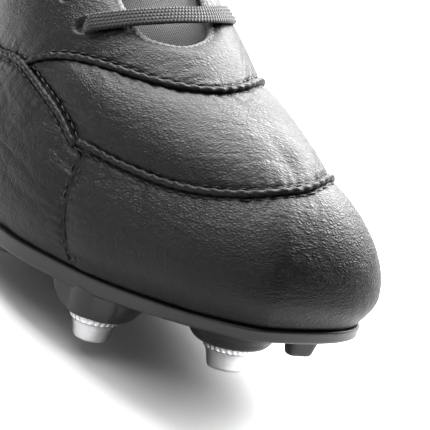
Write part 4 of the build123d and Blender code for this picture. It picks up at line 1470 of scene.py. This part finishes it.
def build_aglet(name, points):
    """Crimped plastic tip on the end of a free lace."""
    spine = route_points(f"{name}_tip", points)
    direction = unit(spine[-1] - spine[-6])
    side = unit(np.cross(direction, (1.0, 0.0, 0.0)))
    up = np.cross(side, direction)
    theta = full_turn(28)
    sections = []
    heights = np.concatenate([[-1.2, -1.0, -0.6], np.linspace(0, AGLET_LENGTH - 1.6, 40), [18.8, 19.3, 19.6]])
    for h in heights:
        end = min(h + 1.2, AGLET_LENGTH - 0.4 - h)
        r = (AGLET_R - 0.35) * math.sqrt(min(1.0, 0.15 + end / 1.2)) * (1 - 0.05 * max(0, math.sin(h * 1.9)))
        seam = 1 - 0.10 * np.exp(-((theta - 2.0) / 0.25) ** 2)
        sections.append(spine[-1] + direction * h + circle(side * 1.12, up * 0.92, theta, r * seam))
    return new_piece(f"{name}_tip", *loop_tube(np.stack(sections)), AGLET, slot="aglet_plastic",
                     stands_for=[name])


def build_knot():
    """The bow's knot: the braid wrapped once round the crossing, full in the middle."""
    n, m = 64, 90
    v = np.linspace(-math.pi / 2, math.pi / 2, n)
    theta = full_turn(m)
    sections = []
    for lat in v:
        across = 4.7 * np.sign(math.sin(lat)) * abs(math.sin(lat)) ** 0.75
        girth = abs(math.cos(lat)) ** 0.55
        ribs = 0.22 * (abs(math.sin(math.pi * (across / LACE_WIDTH + 0.5) * LACE_RIBS)) ** 0.7 - 0.6)
        wobble = 1 + 0.05 * np.sin(2 * theta + 0.6) + 0.04 * noise(theta * 2, theta * 0 + across / 3, 91)
        rx = (5.4 * girth + ribs) * wobble
        rz = (3.6 * girth + ribs) * wobble
        sections.append(np.stack([KNOT[0] + rx * np.cos(theta), KNOT[1] + across + 0 * theta,
                                  KNOT[2] + rz * np.sin(theta)], -1))
    uvs = np.stack([np.repeat(theta * 5, n), np.tile(np.linspace(-3.5, 3.5, n), m)], -1)
    new_piece("bow_knot_braid", *loop_tube(np.stack(sections)), BRAID, uvs=uvs, slot="black_lace",
              stands_for=["lace_knot"])


def build_bow():
    build_knot()
    free_lace("bow_loop_outer", LOOP_OUTER, "lace_loop_outer")
    free_lace("bow_loop_inner", LOOP_INNER, "lace_loop_inner")
    for side, points in (("outer", END_OUTER), ("inner", END_INNER)):
        tip = build_aglet(f"aglet_{side}", points)
        free_lace(f"bow_end_{side}", points, f"lace_end_{side}", taper=True)


def finish_frame_parts():
    """Better materials on the CAD parts that stay."""
    finishes = {"socket_": STEEL, "stud_post_": STEEL, "heel_counter": BOARD}
    for name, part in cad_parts.items():
        for start, material in finishes.items():
            if name.startswith(start):
                part.data.materials.clear()
                part.data.materials.append(material)


# ---- studio ---------------------------------------------------------------------------------
CAMERA_AZIMUTH = 61.0
CAMERA_ELEVATION = 21.24
CAMERA_ROLL = 17.26
CAMERA_DISTANCE = 600.0
CAMERA_TARGET = (240.54, 2.6, 35.73)
CAMERA_LENS = 169.2
FLOOR_SIZE = 6.0
WORLD_STRENGTH = 0.12
VIEW_GAMMA = 0.78
# name, place in metres, size in metres, watts
LIGHTS = [
    ("overhead", (0.42, -0.38, 1.25), (1.3, 1.1), 17),
    ("top_behind", (-0.62, -0.12, 1.00), (0.9, 0.8), 36),
    ("fill_side", (0.10, -1.15, 0.42), (1.2, 0.7), 4),
    ("key_behind", (-0.38, 0.74, 0.68), (1.1, 0.75), 52),
]


def build_camera():
    az, el, roll = (math.radians(v) for v in (CAMERA_AZIMUTH, CAMERA_ELEVATION, CAMERA_ROLL))
    back = Vector((math.sin(az) * math.cos(el), -math.cos(az) * math.cos(el), math.sin(el)))
    level = Vector((math.cos(az), math.sin(az), 0))
    up = back.cross(level)
    right = level * math.cos(roll) + up * math.sin(roll)
    upright = up * math.cos(roll) - level * math.sin(roll)
    target = Vector(placed(CAMERA_TARGET).tolist())
    place = target + back * CAMERA_DISTANCE * MM
    data = bpy.data.cameras.new("camera")
    data.lens = CAMERA_LENS
    data.sensor_width = 36.0
    data.clip_start = 0.01
    camera = new_object("camera", data)
    camera.matrix_world = Matrix.Translation(place) @ Matrix((right, upright, back)).transposed().to_4x4()
    bpy.context.scene.camera = camera


def area_light(name, place, target, size, power):
    data = bpy.data.lights.new(name, "AREA")
    data.shape = "RECTANGLE"
    data.size, data.size_y = size
    data.energy = power
    light = new_object(name, data)
    light.location = place
    light.rotation_euler = (Vector(target) - Vector(place)).to_track_quat("-Z", "Y").to_euler()


def build_studio():
    mesh = bpy.data.meshes.new("floor")
    half = FLOOR_SIZE / 2
    corners = [(-half, -half, 0), (half, -half, 0), (half, half, 0), (-half, half, 0)]
    mesh.from_pydata(corners, [], [(0, 1, 2, 3)])
    mesh.materials.append(floor_material())
    new_object("floor", mesh)
    world = bpy.data.worlds.new("studio")
    world.use_nodes = True
    sky = world.node_tree.nodes["Background"]
    sky.inputs["Color"].default_value = (1, 1, 1, 1)
    sky.inputs["Strength"].default_value = WORLD_STRENGTH
    bpy.context.scene.world = world
    bpy.context.scene.view_settings.view_transform = "Standard"
    bpy.context.scene.view_settings.gamma = VIEW_GAMMA
    focus = placed((200, 0, 50)).tolist()
    for name, place, size, power in LIGHTS:
        area_light(name, place, focus, size, power)


build_panels()
build_seams()
build_collar()
build_linings()
build_toe_puff()
build_tongue()
build_binding()
build_sole()
build_toe_blade()
build_boss_bowls()
build_studs()
build_insole_board()
build_insole()
build_lacing()
build_bow()
finish_frame_parts()
build_studio()
build_camera()
